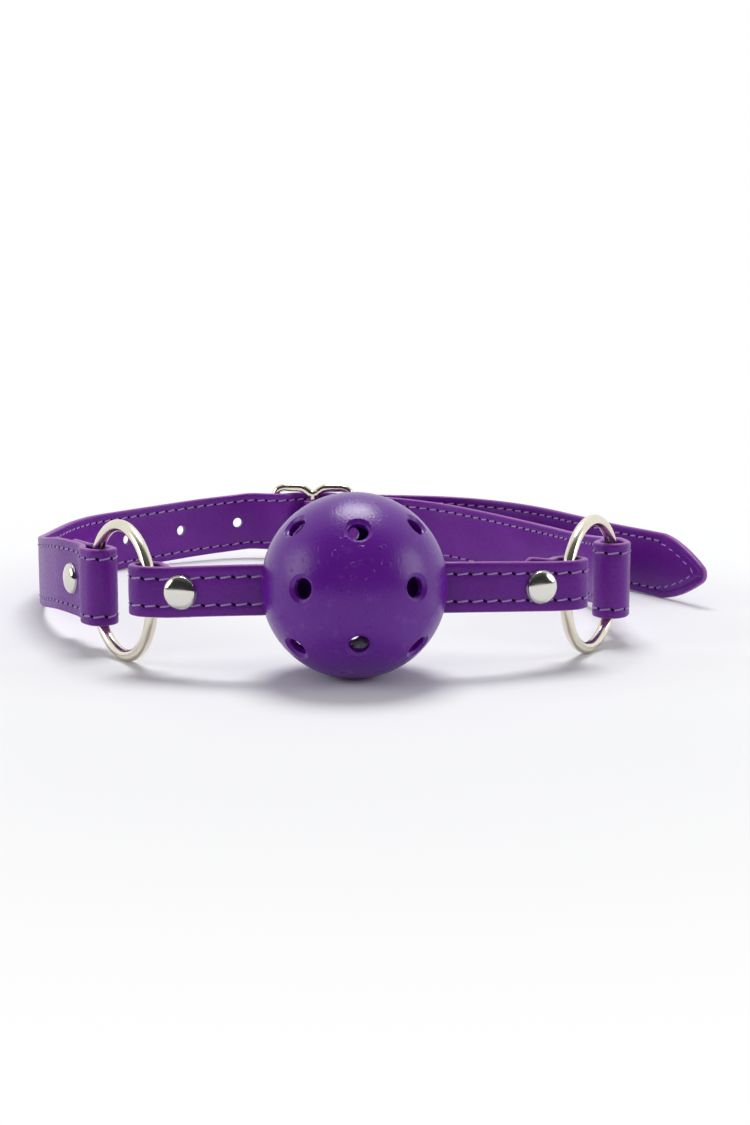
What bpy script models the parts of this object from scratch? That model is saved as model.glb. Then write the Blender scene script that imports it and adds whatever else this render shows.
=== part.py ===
"""Breathable ball gag: a perforated hollow ball on a riveted two-ply strap with two O-rings and a pin buckle.

Every piece is its own object. Lengths are in metres, +Z is up, and the object lies on its strap edges,
its rings and the ball. Plan positions are laid out about the ball, which faces -Y, and at the end the whole
object is moved so that the middle of its box, at floor height, is the origin.
"""
import bpy
import bmesh
from math import acos, cos, pi, radians, sin, sqrt
from mathutils import Matrix, Vector
from mathutils.kdtree import KDTree

MM = 0.001

# Ball
BALL_RADIUS = 22.5 * MM
BALL_WALL = 2.0 * MM
BALL_YAW = radians(4.3)
BALL_TILT = radians(-7.5)
BALL_SEAM_GAP = 0.2 * MM
VENT_RADIUS = 2.4 * MM
VENT_FLARE = 0.7 * MM
VENT_RINGS = ((radians(36.7), 0.0), (radians(65.4), radians(45.0)))
VENTS_PER_RING = 4

# Straps: two plies each, a face outside and a lining inside
PLY = 0.8 * MM
PLY_GAP = 0.2 * MM
LAYER_GAP = 0.5 * MM
STRAP_THICKNESS = 2 * PLY + PLY_GAP
FRONT_WIDTH = 12.5 * MM
REAR_WIDTH = 20.0 * MM
FRONT_RING_HEIGHT = 20.5 * MM
REAR_RING_HEIGHT = 17.4 * MM
CORNER_CLIP = 2.5 * MM
TIP_LENGTH = 20.0 * MM
TIP_END_WIDTH = 3.0 * MM
SLOT_SIDE_CLEARANCE = 1.4 * MM
SLOT_END_CLEARANCE = 1.1 * MM
FRONT_STRAP_DROP = 0.8 * MM
BEND_START = 2.5 * MM

# Rings, standing on the floor
RING_WIRE = 1.5 * MM
RING_RADIUS = 16.5 * MM
RING_CLEARANCE = 0.75 * MM
LEFT_RING_PLAN = Vector((-58.7, 19.0)) * MM
LEFT_RING_TURN = radians(124.0)
RIGHT_RING_PLAN = Vector((60.7, 29.0)) * MM
RIGHT_RING_TURN = radians(60.6)
NECK_RUN = 2.0 * MM

# Rivets
CAP_RADIUS = 4.1 * MM
CAP_HEIGHT = 1.9 * MM
CAP_RIM = 0.4 * MM
BACK_RADIUS = 3.0 * MM
BACK_HEIGHT = 1.0 * MM
POST_RADIUS = 1.5 * MM
POST_CLEARANCE = 0.25 * MM
SEAT_GAP = 0.3 * MM
FRONT_RIVET_RUN = 10.0 * MM
FRONT_FLAP_RUN = 14.6 * MM
REAR_RIVET_RUN = 14.5 * MM
REAR_FLAP_RUN = 22.0 * MM

# Buckle: a waisted frame with a centre bar and a prong
BUCKLE_PLAN = Vector((-17.0, 192.6)) * MM
BUCKLE_TURN = radians(-5.5)
FRAME_WIRE = 1.4 * MM
FRAME_LENGTH = 30.0 * MM
FRAME_STRAP_CLEARANCE = 1.9 * MM
FRAME_HEIGHT = REAR_WIDTH + 2 * (FRAME_WIRE + FRAME_STRAP_CLEARANCE)
WAIST_DEPTH = 2.3 * MM
WAIST_HALF_LENGTH = 3.8 * MM
FRAME_CORNER = 3.4 * MM
BAR_RADIUS = 1.3 * MM
BAR_CLEARANCE = 0.3 * MM
PRONG_RADIUS = 0.95 * MM
PRONG_TIP_RADIUS = 0.65 * MM
PRONG_SLOT_RUN = 7.5 * MM
HOLE_RADIUS = 1.7 * MM
HOLE_PITCH = 22.0 * MM
HOLES_BEFORE_PRONG = 3
HOLES_AFTER_PRONG = 2
PRONG_SWING = radians(6.0)
BILLET_CROSSING = (-6.6, 1.45)
BUCKLE_RIVET_RUN = 25.0 * MM
BUCKLE_FLAP_RUN = 33.0 * MM

# Plan points (mm, x y) and centre heights of the rear straps, chosen by eye between rings and buckle
BILLET_SIDE = (
    (-81.5, 54.5, 16.6), (-88.6, 72.0, 14.2), (-93.6, 92.0, 11.8), (-95.2, 110.0, 10.3),
    (-94.6, 126.0, 10.0), (-92.9, 141.0, 10.0), (-88.6, 155.5, 10.0), (-81.2, 166.0, 10.2),
    (-70.6, 175.4, 10.9), (-56.8, 185.2, 12.0), (-45.0, 191.6, 12.8))
BILLET_TAIL = (
    (31.5, 187.6, 12.6), (48.6, 179.4, 12.0), (61.0, 167.0, 11.4), (71.5, 149.5, 10.8),
    (81.0, 131.5, 10.4), (92.0, 113.0, 10.2), (103.0, 92.0, 10.0))
BUCKLE_SIDE = (
    (70.2, 62.0, 15.6), (70.4, 78.0, 13.6), (68.6, 94.0, 11.8), (65.4, 110.0, 10.6),
    (60.4, 126.0, 10.1), (52.2, 142.8, 10.2), (41.2, 158.0, 11.0), (27.0, 171.8, 12.2))

CURVE_TURN = radians(12.0)
LONGEST_STEP = 6.0 * MM
ROUND_SIDES = 16


# ---------------------------------------------------------------- scene helpers

for old in list(bpy.data.objects):
    bpy.data.objects.remove(old, do_unlink=True)


def new_collection(name):
    collection = bpy.data.collections.new(name)
    bpy.context.scene.collection.children.link(collection)
    return collection


PARTS = new_collection("ball_gag")
CUTTERS = new_collection("cutters")


def make_material(name, colour, roughness, metallic=0.0):
    material = bpy.data.materials.new(name)
    material.use_nodes = True
    shader = material.node_tree.nodes["Principled BSDF"]
    shader.inputs["Base Color"].default_value = (*colour, 1.0)
    shader.inputs["Roughness"].default_value = roughness
    shader.inputs["Metallic"].default_value = metallic
    return material


def add_object(name, mesh, collection, material=None):
    thing = bpy.data.objects.new(name, mesh)
    collection.objects.link(thing)
    if material:
        mesh.materials.clear()
        mesh.materials.append(material)
    return thing


def add_cutter(name, mesh, matrix=None):
    cutter = add_object(name, mesh, CUTTERS)
    cutter.hide_render = True
    cutter.display_type = "WIRE"
    if matrix is not None:
        cutter.matrix_world = matrix
    return cutter


def cut(target, cutter, operation="DIFFERENCE"):
    boolean = target.modifiers.new(cutter.name, "BOOLEAN")
    boolean.object = cutter
    boolean.operation = operation
    boolean.solver = "EXACT"


def shade_round(mesh, angle=radians(35.0)):
    mesh.shade_smooth()
    mesh.set_sharp_from_angle(angle=angle)


def facing(point, direction, up=Vector((0, 0, 1))):
    """A matrix at point whose Z axis is direction and whose Y axis is as near up as it can be."""
    axis = direction.normalized()
    side = up.cross(axis).normalized()
    return Matrix.Translation(point) @ Matrix((side, axis.cross(side), axis)).transposed().to_4x4()


def turned(name, profile, steps=ROUND_SIDES):
    """A mesh turned about Z from (radius, height) points that start and end on the axis."""
    outline = bpy.data.meshes.new(name + "_profile")
    edges = [(i, i + 1) for i in range(len(profile) - 1)]
    outline.from_pydata([(r, 0.0, z) for r, z in profile], edges, [])
    turning = bpy.data.objects.new(name + "_profile", outline)
    bpy.context.scene.collection.objects.link(turning)
    screw = turning.modifiers.new("turn", "SCREW")
    screw.steps = steps
    screw.render_steps = steps
    screw.use_merge_vertices = True
    screw.merge_threshold = 0.00001
    mesh = baked(turning, name)
    shade_round(mesh)
    return mesh


def baked(thing, name, weld=0.000005):
    """The evaluated shape of an object as a plain mesh, after which the object is removed."""
    bpy.context.view_layer.update()
    graph = bpy.context.evaluated_depsgraph_get()
    mesh = bpy.data.meshes.new_from_object(thing.evaluated_get(graph))
    mesh.name = name
    shape = bmesh.new()
    shape.from_mesh(mesh)
    bmesh.ops.remove_doubles(shape, verts=shape.verts, dist=weld)
    shape.to_mesh(mesh)
    shape.free()
    bpy.data.objects.remove(thing, do_unlink=True)
    return mesh


def box_mesh(name, size):
    mesh = bpy.data.meshes.new(name)
    shape = bmesh.new()
    bmesh.ops.create_cube(shape, size=1.0)
    bmesh.ops.scale(shape, vec=size, verts=shape.verts)
    shape.to_mesh(mesh)
    shape.free()
    return mesh


def cylinder_mesh(name, radius, length, sides=ROUND_SIDES):
    mesh = bpy.data.meshes.new(name)
    shape = bmesh.new()
    bmesh.ops.create_cone(
        shape, cap_ends=True, segments=sides, radius1=radius, radius2=radius, depth=length)
    shape.to_mesh(mesh)
    shape.free()
    return mesh


def tube_mesh(name, points, radius, sides_resolution=2, closed=False, radii=None):
    """A round wire along the points, with filled ends unless it is closed."""
    curve = bpy.data.curves.new(name, "CURVE")
    curve.dimensions = "3D"
    curve.bevel_depth = radius
    curve.bevel_resolution = sides_resolution
    curve.use_fill_caps = not closed
    spline = curve.splines.new("POLY")
    spline.points.add(len(points) - 1)
    spline.use_cyclic_u = closed
    for i, point in enumerate(points):
        spline.points[i].co = (*point, 1.0)
        spline.points[i].radius = radii[i] if radii else 1.0
    wire = bpy.data.objects.new(name, curve)
    bpy.context.scene.collection.objects.link(wire)
    mesh = baked(wire, name)
    shade_round(mesh)
    return mesh


# ---------------------------------------------------------------- plan geometry

def smooth_route(points, closed=False, samples=24):
    """Close samples of a centripetal Catmull-Rom curve through the points."""
    count = len(points)
    dense = []
    spans = count if closed else count - 1
    for i in range(spans):
        near, far = points[i], points[(i + 1) % count]
        before = points[(i - 1) % count] if closed or i else near * 2 - far
        after = points[(i + 2) % count] if closed or i + 2 < count else far * 2 - near
        knots = [0.0]
        for start, end in ((before, near), (near, far), (far, after)):
            knots.append(knots[-1] + sqrt((end - start).length))
        a, b, c, d = knots
        for k in range(samples):
            t = b + (c - b) * k / samples
            p = before * ((b - t) / (b - a)) + near * ((t - a) / (b - a))
            q = near * ((c - t) / (c - b)) + far * ((t - b) / (c - b))
            r = far * ((d - t) / (d - c)) + after * ((t - c) / (d - c))
            s = p * ((c - t) / (c - a)) + q * ((t - a) / (c - a))
            u = q * ((d - t) / (d - b)) + r * ((t - b) / (d - b))
            dense.append(s * ((c - t) / (c - b)) + u * ((t - b) / (c - b)))
    return dense if closed else dense + [points[-1].copy()]


def thinned(points, turn=CURVE_TURN, reach=LONGEST_STEP):
    """The samples that are needed to follow the bends within a turn and a step."""
    kept = [points[0]]
    heading = None
    swung = 0.0
    run = 0.0
    for last, point in zip(points, points[1:]):
        step = point - last
        if step.length < 1e-9:
            continue
        if heading is not None:
            swung += acos(max(-1.0, min(1.0, heading.dot(step.normalized()))))
        heading = step.normalized()
        run += step.length
        if swung > turn or run > reach:
            kept.append(point)
            swung = 0.0
            run = 0.0
    if (kept[-1] - points[-1]).length < 0.6 * MM:
        kept.pop()
    return kept + [points[-1]]


def unit(angle):
    return Vector((cos(angle), sin(angle)))


def left_of(direction):
    return Vector((-direction.y, direction.x))


def along(points):
    """The distance run at each point."""
    runs = [0.0]
    for last, point in zip(points, points[1:]):
        runs.append(runs[-1] + (point - last).length)
    return runs


def corner_normals(points):
    """For each point, the plan normal to its left, lengthened at a bend so that offsets keep their distance."""
    normals = []
    for i, point in enumerate(points):
        before = points[max(i - 1, 0)]
        after = points[min(i + 1, len(points) - 1)]
        into = (point - before).xy if i else (after - point).xy
        out = (after - point).xy if i + 1 < len(points) else into
        mean = (into.normalized() + out.normalized()).normalized()
        normal = left_of(mean)
        normals.append(normal / max(0.5, normal.dot(left_of(into.normalized()))))
    return normals


def sideways(points, distance):
    return [
        Vector((*(point.xy + normal * distance), point.z))
        for point, normal in zip(points, corner_normals(points))]


def point_at(points, run):
    """The place and the travel direction at a distance along the points."""
    runs = along(points)
    for i in range(len(points) - 1):
        if runs[i + 1] >= run:
            share = (run - runs[i]) / (runs[i + 1] - runs[i])
            step = points[i + 1] - points[i]
            return points[i] + step * share, step.normalized()
    return points[-1], (points[-1] - points[-2]).normalized()


def run_near(points, place):
    """The distance along the points at their nearest approach to a plan place."""
    runs = along(points)
    best = None
    for i in range(len(points) - 1):
        step = (points[i + 1] - points[i]).xy
        share = max(0.0, min(1.0, (place - points[i].xy).dot(step) / step.length_squared))
        gap = (points[i].xy + step * share - place).length
        if best is None or gap < best[0]:
            best = (gap, runs[i] + share * (runs[i + 1] - runs[i]))
    return best[1]


def wire_bow(width, height):
    """How far a standing ring's wire curves inwards within a strap of this width and centre height."""
    reach = max(abs(height - RING_HEIGHT - width / 2), abs(height - RING_HEIGHT + width / 2))
    return RING_RADIUS - sqrt(RING_RADIUS ** 2 - reach ** 2)


def loop_about_wire(wire, radial, pull, width, height, turn):
    """A strap's fold about one side of a ring: control points in travel order, pocket, neck and fold end.

    wire is the ring side's outermost place, radial points from it into the ring's eye, pull is the way the
    strap pulls towards its fold, and turn is 1 where the strap turns left round the wire and -1 for right.
    """
    bow = wire_bow(width, height)
    axis = (radial + pull).normalized()
    skew = acos(max(-1.0, min(1.0, axis.dot(radial))))
    half_width = RING_WIRE + RING_CLEARANCE + bow / 2 * sin(skew + JOINT_SWING)
    half_length = RING_WIRE + RING_CLEARANCE + bow / 2
    centre = wire + radial * (bow / 2)
    radius = half_width + STRAP_THICKNESS / 2
    straight = max(0.0, half_length - half_width)
    start_side = -left_of(axis) * turn
    neck = (STRAP_THICKNESS + LAYER_GAP) / 2
    neck_centre = centre - axis * (straight + radius + NECK_RUN)
    points = [neck_centre + start_side * neck, centre - axis * straight + start_side * radius]
    for step in range(0, 9):
        angle = pi * step / 8
        points.append(centre + axis * (straight + radius * sin(angle)) + start_side * radius * cos(angle))
    points.append(centre - axis * straight - start_side * radius)
    points.append(neck_centre - start_side * neck)
    fold = centre + axis * (straight + radius)
    return [Vector((*point, height)) for point in points], centre, neck_centre, fold


# ---------------------------------------------------------------- places worked out from the sizes

RING_HEIGHT = RING_RADIUS + RING_WIRE
JOINT_SWING = radians(8.0)
BUCKLE_HEIGHT = FRAME_HEIGHT / 2

ball_axis = unit(BALL_YAW)
left_radial = unit(LEFT_RING_TURN)
right_radial = unit(RIGHT_RING_TURN)
left_near = LEFT_RING_PLAN - left_radial * RING_RADIUS
left_far = LEFT_RING_PLAN + left_radial * RING_RADIUS
right_near = RIGHT_RING_PLAN - right_radial * RING_RADIUS
right_far = RIGHT_RING_PLAN + right_radial * RING_RADIUS
bend = BALL_RADIUS + BEND_START
strap_height_in_ball = BALL_RADIUS - FRONT_STRAP_DROP


def buckle_point(s, n, height=BUCKLE_HEIGHT):
    """A place by the buckle: s mm along the strap from the centre bar, n mm outwards from the frame's middle."""
    run = unit(BUCKLE_TURN)
    plan = BUCKLE_PLAN + run * (s * MM) + left_of(run) * (n * MM)
    return Vector((*plan, height))


def side_points(rows):
    return [Vector(row) * MM for row in rows]


def cap_height(points, width):
    """The points with none lower than lets a strap of this width rest on the floor."""
    return [Vector((*point.xy, max(point.z, width / 2))) for point in points]


# ---------------------------------------------------------------- routes of the straps

def flap_beside(points, side, run):
    """A short run beside the start of the points, in order from its free end to their first point."""
    offset = sideways(points, side * (STRAP_THICKNESS + LAYER_GAP))
    end, _ = point_at(offset, run)
    runs = along(offset)
    inner = [point for point, passed in zip(offset, runs) if 1.5 * MM < passed < run - 1.5 * MM]
    return [end] + inner[::-1]


def spaced(points, reach=5 * MM):
    """The points that lie at least this far from the one kept before, and both ends."""
    kept = [points[0]]
    for point in points[1:-1]:
        if (point - kept[-1]).length > reach and (point - points[-1]).length > reach / 2:
            kept.append(point)
    return kept + [points[-1]]


def front_route():
    """The strap through the ball, folded back on its inner side at both rings."""
    left_bend = Vector((*(-ball_axis * bend), strap_height_in_ball))
    right_bend = Vector((*(ball_axis * bend), strap_height_in_ball))
    left_loop, left_pocket, left_neck, left_fold = loop_about_wire(
        left_near, left_radial, (left_near - left_bend.xy).normalized(), FRONT_WIDTH, FRONT_RING_HEIGHT, 1)
    right_loop, right_pocket, right_neck, right_fold = loop_about_wire(
        right_near, right_radial, (right_near - right_bend.xy).normalized(),
        FRONT_WIDTH, FRONT_RING_HEIGHT, 1)
    middle = [Vector((0, 0, strap_height_in_ball))]
    main = thinned(smooth_route([left_loop[-1], left_bend, *middle, right_bend, right_loop[0]]), reach=4 * MM)
    left_run = FRONT_FLAP_RUN - (left_neck - left_pocket).length
    right_run = FRONT_FLAP_RUN - (right_neck - right_pocket).length
    left_flap = flap_beside(main, 1, left_run)
    right_flap = flap_beside(main[::-1], -1, right_run)[::-1]
    route = [*left_flap, *left_loop, *main[1:-1], *right_loop, *right_flap]
    mid = thinned(smooth_route(route, samples=8))
    return mid, (left_pocket, left_fold), (right_pocket, right_fold)


def billet_route():
    """The punched strap from the left ring, through the buckle, to its tip."""
    first = side_points(BILLET_SIDE)
    loop, pocket, neck, fold = loop_about_wire(
        left_far, -left_radial, (left_far - first[0].xy).normalized(), REAR_WIDTH, REAR_RING_HEIGHT, -1)
    centre = STRAP_THICKNESS / 2 / MM
    bar_out = (BAR_RADIUS + BAR_CLEARANCE + STRAP_THICKNESS + LAYER_GAP) / MM + centre
    side_in = -(FRAME_WIRE + LAYER_GAP) / MM - centre
    side = (FRAME_LENGTH / 2 - FRAME_WIRE) / MM
    through = [
        buckle_point(-side - 9, side_in + 0.7), buckle_point(-side, side_in),
        buckle_point(-side * 0.72, side_in * 0.62), buckle_point(*BILLET_CROSSING),
        buckle_point(-side * 0.22, bar_out - 0.75), buckle_point(0.4, bar_out),
        buckle_point(side * 0.3, bar_out - 0.9), buckle_point(side * 0.6, bar_out * 0.24),
        buckle_point(side * 0.82, side_in * 0.72), buckle_point(side, side_in - 0.25),
        buckle_point(side + 9, side_in + 0.2)]
    main = [loop[-1], *first, *through, *side_points(BILLET_TAIL)]
    flap = flap_beside(smooth_route(main[:4]), -1, REAR_FLAP_RUN - (neck - pocket).length)
    route = [*spaced(flap), *loop, *main[1:]]
    return cap_height(thinned(smooth_route(route)), REAR_WIDTH), (pocket, fold)


def buckle_route():
    """The strap from the right ring to the buckle, folded about the centre bar."""
    first = side_points(BUCKLE_SIDE)
    loop, pocket, neck, fold = loop_about_wire(
        right_far, -right_radial, (right_far - first[0].xy).normalized(), REAR_WIDTH, REAR_RING_HEIGHT, 1)
    centre = STRAP_THICKNESS / 2 / MM
    radius = (BAR_RADIUS + BAR_CLEARANCE) / MM + centre
    side = (FRAME_LENGTH / 2 - FRAME_WIRE) / MM
    outer_in = -(FRAME_WIRE + 2 * LAYER_GAP + STRAP_THICKNESS) / MM - centre
    outer = [
        buckle_point(side + 14, outer_in - 5.0), buckle_point(side, outer_in - 0.9),
        buckle_point(side * 0.78, outer_in + 0.75), buckle_point(side * 0.5, -1.35),
        buckle_point(side * 0.2, radius * 0.84)]
    around = [
        buckle_point(-radius * sin(angle), radius * cos(angle))
        for angle in (pi * step / 8 for step in range(0, 9))]
    inner = [buckle_point(side * 0.3, -radius - 0.9), buckle_point(side * 0.62, outer_in - 0.8)]
    leaving = smooth_route([outer[1], outer[0], *first[:-3:-1]])
    inner += spaced(flap_beside(leaving, -1, BUCKLE_FLAP_RUN - side * MM)[::-1])
    flap = flap_beside(smooth_route([loop[-1], *first[:3]]), 1, REAR_FLAP_RUN - (neck - pocket).length)
    route = [*spaced(flap), *loop, *first, *outer, *around, *inner]
    return cap_height(thinned(smooth_route(route)), REAR_WIDTH), (pocket, fold)


# ---------------------------------------------------------------- strap plies

def strap_ply(name, route, side, half_width_at, material):
    """One ply of a strap: a ribbon along the route, on its left (1) or right (-1), with thickness."""
    path = sideways(route, side * (PLY + PLY_GAP) / 2)
    curve = bpy.data.curves.new(name, "CURVE")
    curve.dimensions = "2D"
    curve.fill_mode = "NONE"
    curve.extrude = 1.0 * MM
    spline = curve.splines.new("POLY")
    spline.points.add(len(path) - 1)
    for i, point in enumerate(path):
        spline.points[i].co = (point.x, point.y, 0.0, 1.0)
    flat = bpy.data.objects.new(name, curve)
    bpy.context.scene.collection.objects.link(flat)
    mesh = baked(flat, name)
    nearest = KDTree(len(path))
    for i, point in enumerate(path):
        nearest.insert((point.x, point.y, 0.0), i)
    nearest.balance()
    runs = along(route)
    for vertex in mesh.vertices:
        index = nearest.find((vertex.co.x, vertex.co.y, 0.0))[1]
        half = half_width_at(runs[index], runs[-1])
        vertex.co.z = path[index].z + (half if vertex.co.z > 0 else -half)
    ply = add_object(name, mesh, PARTS, material)
    thickness = ply.modifiers.new("thickness", "SOLIDIFY")
    thickness.thickness = PLY
    thickness.offset = 0.0
    thickness.use_even_offset = True
    return ply


def clipped(distance):
    """How much narrower a strap is near a square end with clipped corners."""
    return max(0.0, CORNER_CLIP - distance)


def pointed(distance, half_width):
    """Half the width near a pointed tip with bulging sides."""
    if distance >= TIP_LENGTH:
        return half_width
    share = distance / TIP_LENGTH
    return TIP_END_WIDTH / 2 + (half_width - TIP_END_WIDTH / 2) * sin(share * pi / 2) ** 0.8


def add_points_at(route, runs_wanted):
    """The route with extra points at the given distances."""
    runs = along(route)
    extra = [(run, point_at(route, run)[0]) for run in runs_wanted if 0 < run < runs[-1]]
    kept = [
        (run, point) for run, point in zip(runs, route)
        if all(abs(run - new) > 0.3 * MM for new, _ in extra)]
    return [point for _, point in sorted(kept + extra, key=lambda pair: pair[0])]


# ---------------------------------------------------------------- materials

PURPLE_PLASTIC = make_material("ball_plastic", (0.055, 0.016, 0.16), 0.3)
PURPLE_FACE = make_material("strap_face", (0.075, 0.022, 0.17), 0.42)
PURPLE_LINING = make_material("strap_lining", (0.11, 0.04, 0.2), 0.7)
NICKEL = make_material("nickel", (0.72, 0.68, 0.6), 0.2, 1.0)
DARK_NICKEL = make_material("rivet_nickel", (0.6, 0.57, 0.52), 0.3, 1.0)


# ---------------------------------------------------------------- the ball

def ball_half(name, pole, vents):
    """One moulded half of the hollow ball, its pole along -Y (-1) or +Y (1), cut for vents and strap."""
    inner = BALL_RADIUS - BALL_WALL
    rim = BALL_SEAM_GAP / 2
    arc = [pi / 2 * step / 9 for step in range(10)]
    outside = [(BALL_RADIUS * sin(a), BALL_RADIUS * cos(a)) for a in arc[:-1]]
    inside = [(inner * sin(a), inner * cos(a)) for a in arc[-2::-1]]
    profile = [*outside, (BALL_RADIUS, rim), (inner, rim), *inside]
    mesh = turned(name, profile, 36)
    half = add_object(name, mesh, PARTS, PURPLE_PLASTIC)
    half.matrix_world = BALL_FRAME @ Matrix.Rotation(-pole * pi / 2, 4, "X")
    cut(half, vents)
    cut(half, strap_slot)
    return half


def vent_cutter(name, pole):
    """All the vent holes of one half as one cutter: round holes with flared mouths."""
    reach = 4 * MM
    mouth = BALL_RADIUS + 0.02 * MM
    profile = [
        (0.0, mouth + reach), (VENT_RADIUS + VENT_FLARE, mouth + reach),
        (VENT_RADIUS + VENT_FLARE, mouth - 0.15 * MM), (VENT_RADIUS, mouth - 0.85 * MM),
        (VENT_RADIUS, BALL_RADIUS - BALL_WALL - reach), (0.0, BALL_RADIUS - BALL_WALL - reach)]
    one = turned(name + "_one", profile, 16)
    shape = bmesh.new()
    for lean, start in VENT_RINGS:
        for i in range(VENTS_PER_RING):
            around = start + 2 * pi * i / VENTS_PER_RING
            part = one.copy()
            part.transform(Matrix.Rotation(around, 4, "Z") @ Matrix.Rotation(lean, 4, "Y"))
            shape.from_mesh(part)
            bpy.data.meshes.remove(part)
    bpy.data.meshes.remove(one)
    mesh = bpy.data.meshes.new(name)
    shape.to_mesh(mesh)
    shape.free()
    return add_cutter(name, mesh, BALL_FRAME @ Matrix.Rotation(-pole * pi / 2, 4, "X"))


BALL_FRAME = (
    Matrix.Translation((0, 0, BALL_RADIUS))
    @ Matrix.Rotation(BALL_YAW, 4, "Z") @ Matrix.Rotation(BALL_TILT, 4, "X"))
strap_slot = add_cutter("strap_slot", box_mesh("strap_slot", (
    3 * BALL_RADIUS, STRAP_THICKNESS + 2 * SLOT_SIDE_CLEARANCE, FRONT_WIDTH + 2 * SLOT_END_CLEARANCE)), BALL_FRAME)
ball_front = ball_half("ball_front_half", -1, vent_cutter("front_vents", -1))
ball_rear = ball_half("ball_rear_half", 1, vent_cutter("rear_vents", 1))


# ---------------------------------------------------------------- rings

def o_ring(name, plan, radial):
    turn = 2 * pi / 40
    points = [
        Vector((*(plan + radial * RING_RADIUS * cos(turn * i)), RING_HEIGHT + RING_RADIUS * sin(turn * i)))
        for i in range(40)]
    ring = add_object(name, tube_mesh(name, points, RING_WIRE, 3, closed=True), PARTS, NICKEL)
    return ring


ring_left = o_ring("ring_left", LEFT_RING_PLAN, left_radial)
ring_right = o_ring("ring_right", RIGHT_RING_PLAN, right_radial)


# ---------------------------------------------------------------- straps

front_mid, front_left_loop, front_right_loop = front_route()
billet_mid, rear_left_loop = billet_route()
buckle_mid, rear_right_loop = buckle_route()


def front_half_width(run, total):
    return FRONT_WIDTH / 2 - clipped(run) - clipped(total - run)


def billet_half_width(run, total):
    return min(REAR_WIDTH / 2 - clipped(run), pointed(total - run, REAR_WIDTH / 2))


bar_run = run_near(buckle_mid, buckle_point(-2.5, 0).xy)


def buckle_half_width(run, total):
    from_bar = abs(run - bar_run)
    waist = REAR_WIDTH / 2 - (WAIST_DEPTH + 0.3 * MM)
    share = max(0.0, min(1.0, (from_bar - 6.5 * MM) / (5.0 * MM)))
    return min(waist + (REAR_WIDTH / 2 - waist) * share, REAR_WIDTH / 2 - clipped(run) - clipped(total - run))


tip_total = along(billet_mid)[-1]
tip_runs = [tip_total - TIP_LENGTH * share for share in (1.0, 0.8, 0.6, 0.42, 0.27, 0.14, 0.05)]
billet_mid = add_points_at(billet_mid, [CORNER_CLIP, *tip_runs])
front_mid = add_points_at(front_mid, [CORNER_CLIP, along(front_mid)[-1] - CORNER_CLIP])
buckle_mid = add_points_at(buckle_mid, [
    CORNER_CLIP, along(buckle_mid)[-1] - CORNER_CLIP,
    *(bar_run + offset * MM for offset in (-11.5, -9.0, -6.5, 6.5, 9.0, 11.5))])

front_plies = [
    strap_ply("front_strap_face", front_mid, -1, front_half_width, PURPLE_FACE),
    strap_ply("front_strap_lining", front_mid, 1, front_half_width, PURPLE_LINING)]
billet_plies = [
    strap_ply("billet_strap_face", billet_mid, 1, billet_half_width, PURPLE_FACE),
    strap_ply("billet_strap_lining", billet_mid, -1, billet_half_width, PURPLE_LINING)]
buckle_plies = [
    strap_ply("buckle_strap_face", buckle_mid, -1, buckle_half_width, PURPLE_FACE),
    strap_ply("buckle_strap_lining", buckle_mid, 1, buckle_half_width, PURPLE_LINING)]


# ---------------------------------------------------------------- rivets

def rivet(name, route, run, outwards, plies):
    """A domed cap outside and a post with a low back inside, through both layers of a folded strap.

    run is the place on the outer layer, and outwards is 1 where the face is to the left of the travel.
    """
    place, heading = point_at(route, run)
    normal = left_of(heading.xy.normalized()) * outwards
    out = Vector((*normal, 0.0))
    stack = 2 * STRAP_THICKNESS + LAYER_GAP
    middle = place - out * (STRAP_THICKNESS + LAYER_GAP) / 2
    pose = facing(middle, out)
    cap_foot = stack / 2 + SEAT_GAP
    back_top = -stack / 2 - SEAT_GAP
    dome = [pi / 2 * step / 5 for step in range(6)]
    cap_profile = [
        (CAP_RADIUS * sin(a), cap_foot + CAP_RIM + (CAP_HEIGHT - CAP_RIM) * cos(a)) for a in dome]
    cap_profile += [(CAP_RADIUS * 0.97, cap_foot), (0.0, cap_foot)]
    back_profile = [
        (0.0, cap_foot - SEAT_GAP), (POST_RADIUS, cap_foot - SEAT_GAP), (POST_RADIUS, back_top),
        (BACK_RADIUS, back_top), (BACK_RADIUS, back_top - BACK_HEIGHT * 0.4)]
    back_profile += [
        (BACK_RADIUS * cos(a), back_top - BACK_HEIGHT * (0.4 + 0.6 * sin(a))) for a in dome[2:-1:2]]
    back_profile.append((0.0, back_top - BACK_HEIGHT))
    cap = add_object(name + "_cap", turned(name + "_cap", cap_profile, 20), PARTS, NICKEL)
    back = add_object(name + "_post", turned(name + "_post", back_profile, ROUND_SIDES), PARTS, DARK_NICKEL)
    for piece in (cap, back):
        piece.matrix_world = pose
    hole = add_cutter(
        name + "_hole", cylinder_mesh(name + "_hole", POST_RADIUS + POST_CLEARANCE, stack + 4 * MM), pose)
    for ply in plies:
        cut(ply, hole)
    return [cap, back]


def run_beyond(route, loop, distance, way):
    """The distance along a route where, past a loop's fold end, it is this far from the loop's pocket."""
    pocket, fold = loop
    run = run_near(route, fold)
    while (point_at(route, run)[0].xy - pocket).length < distance:
        run += way * 0.1 * MM
    return run


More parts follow.
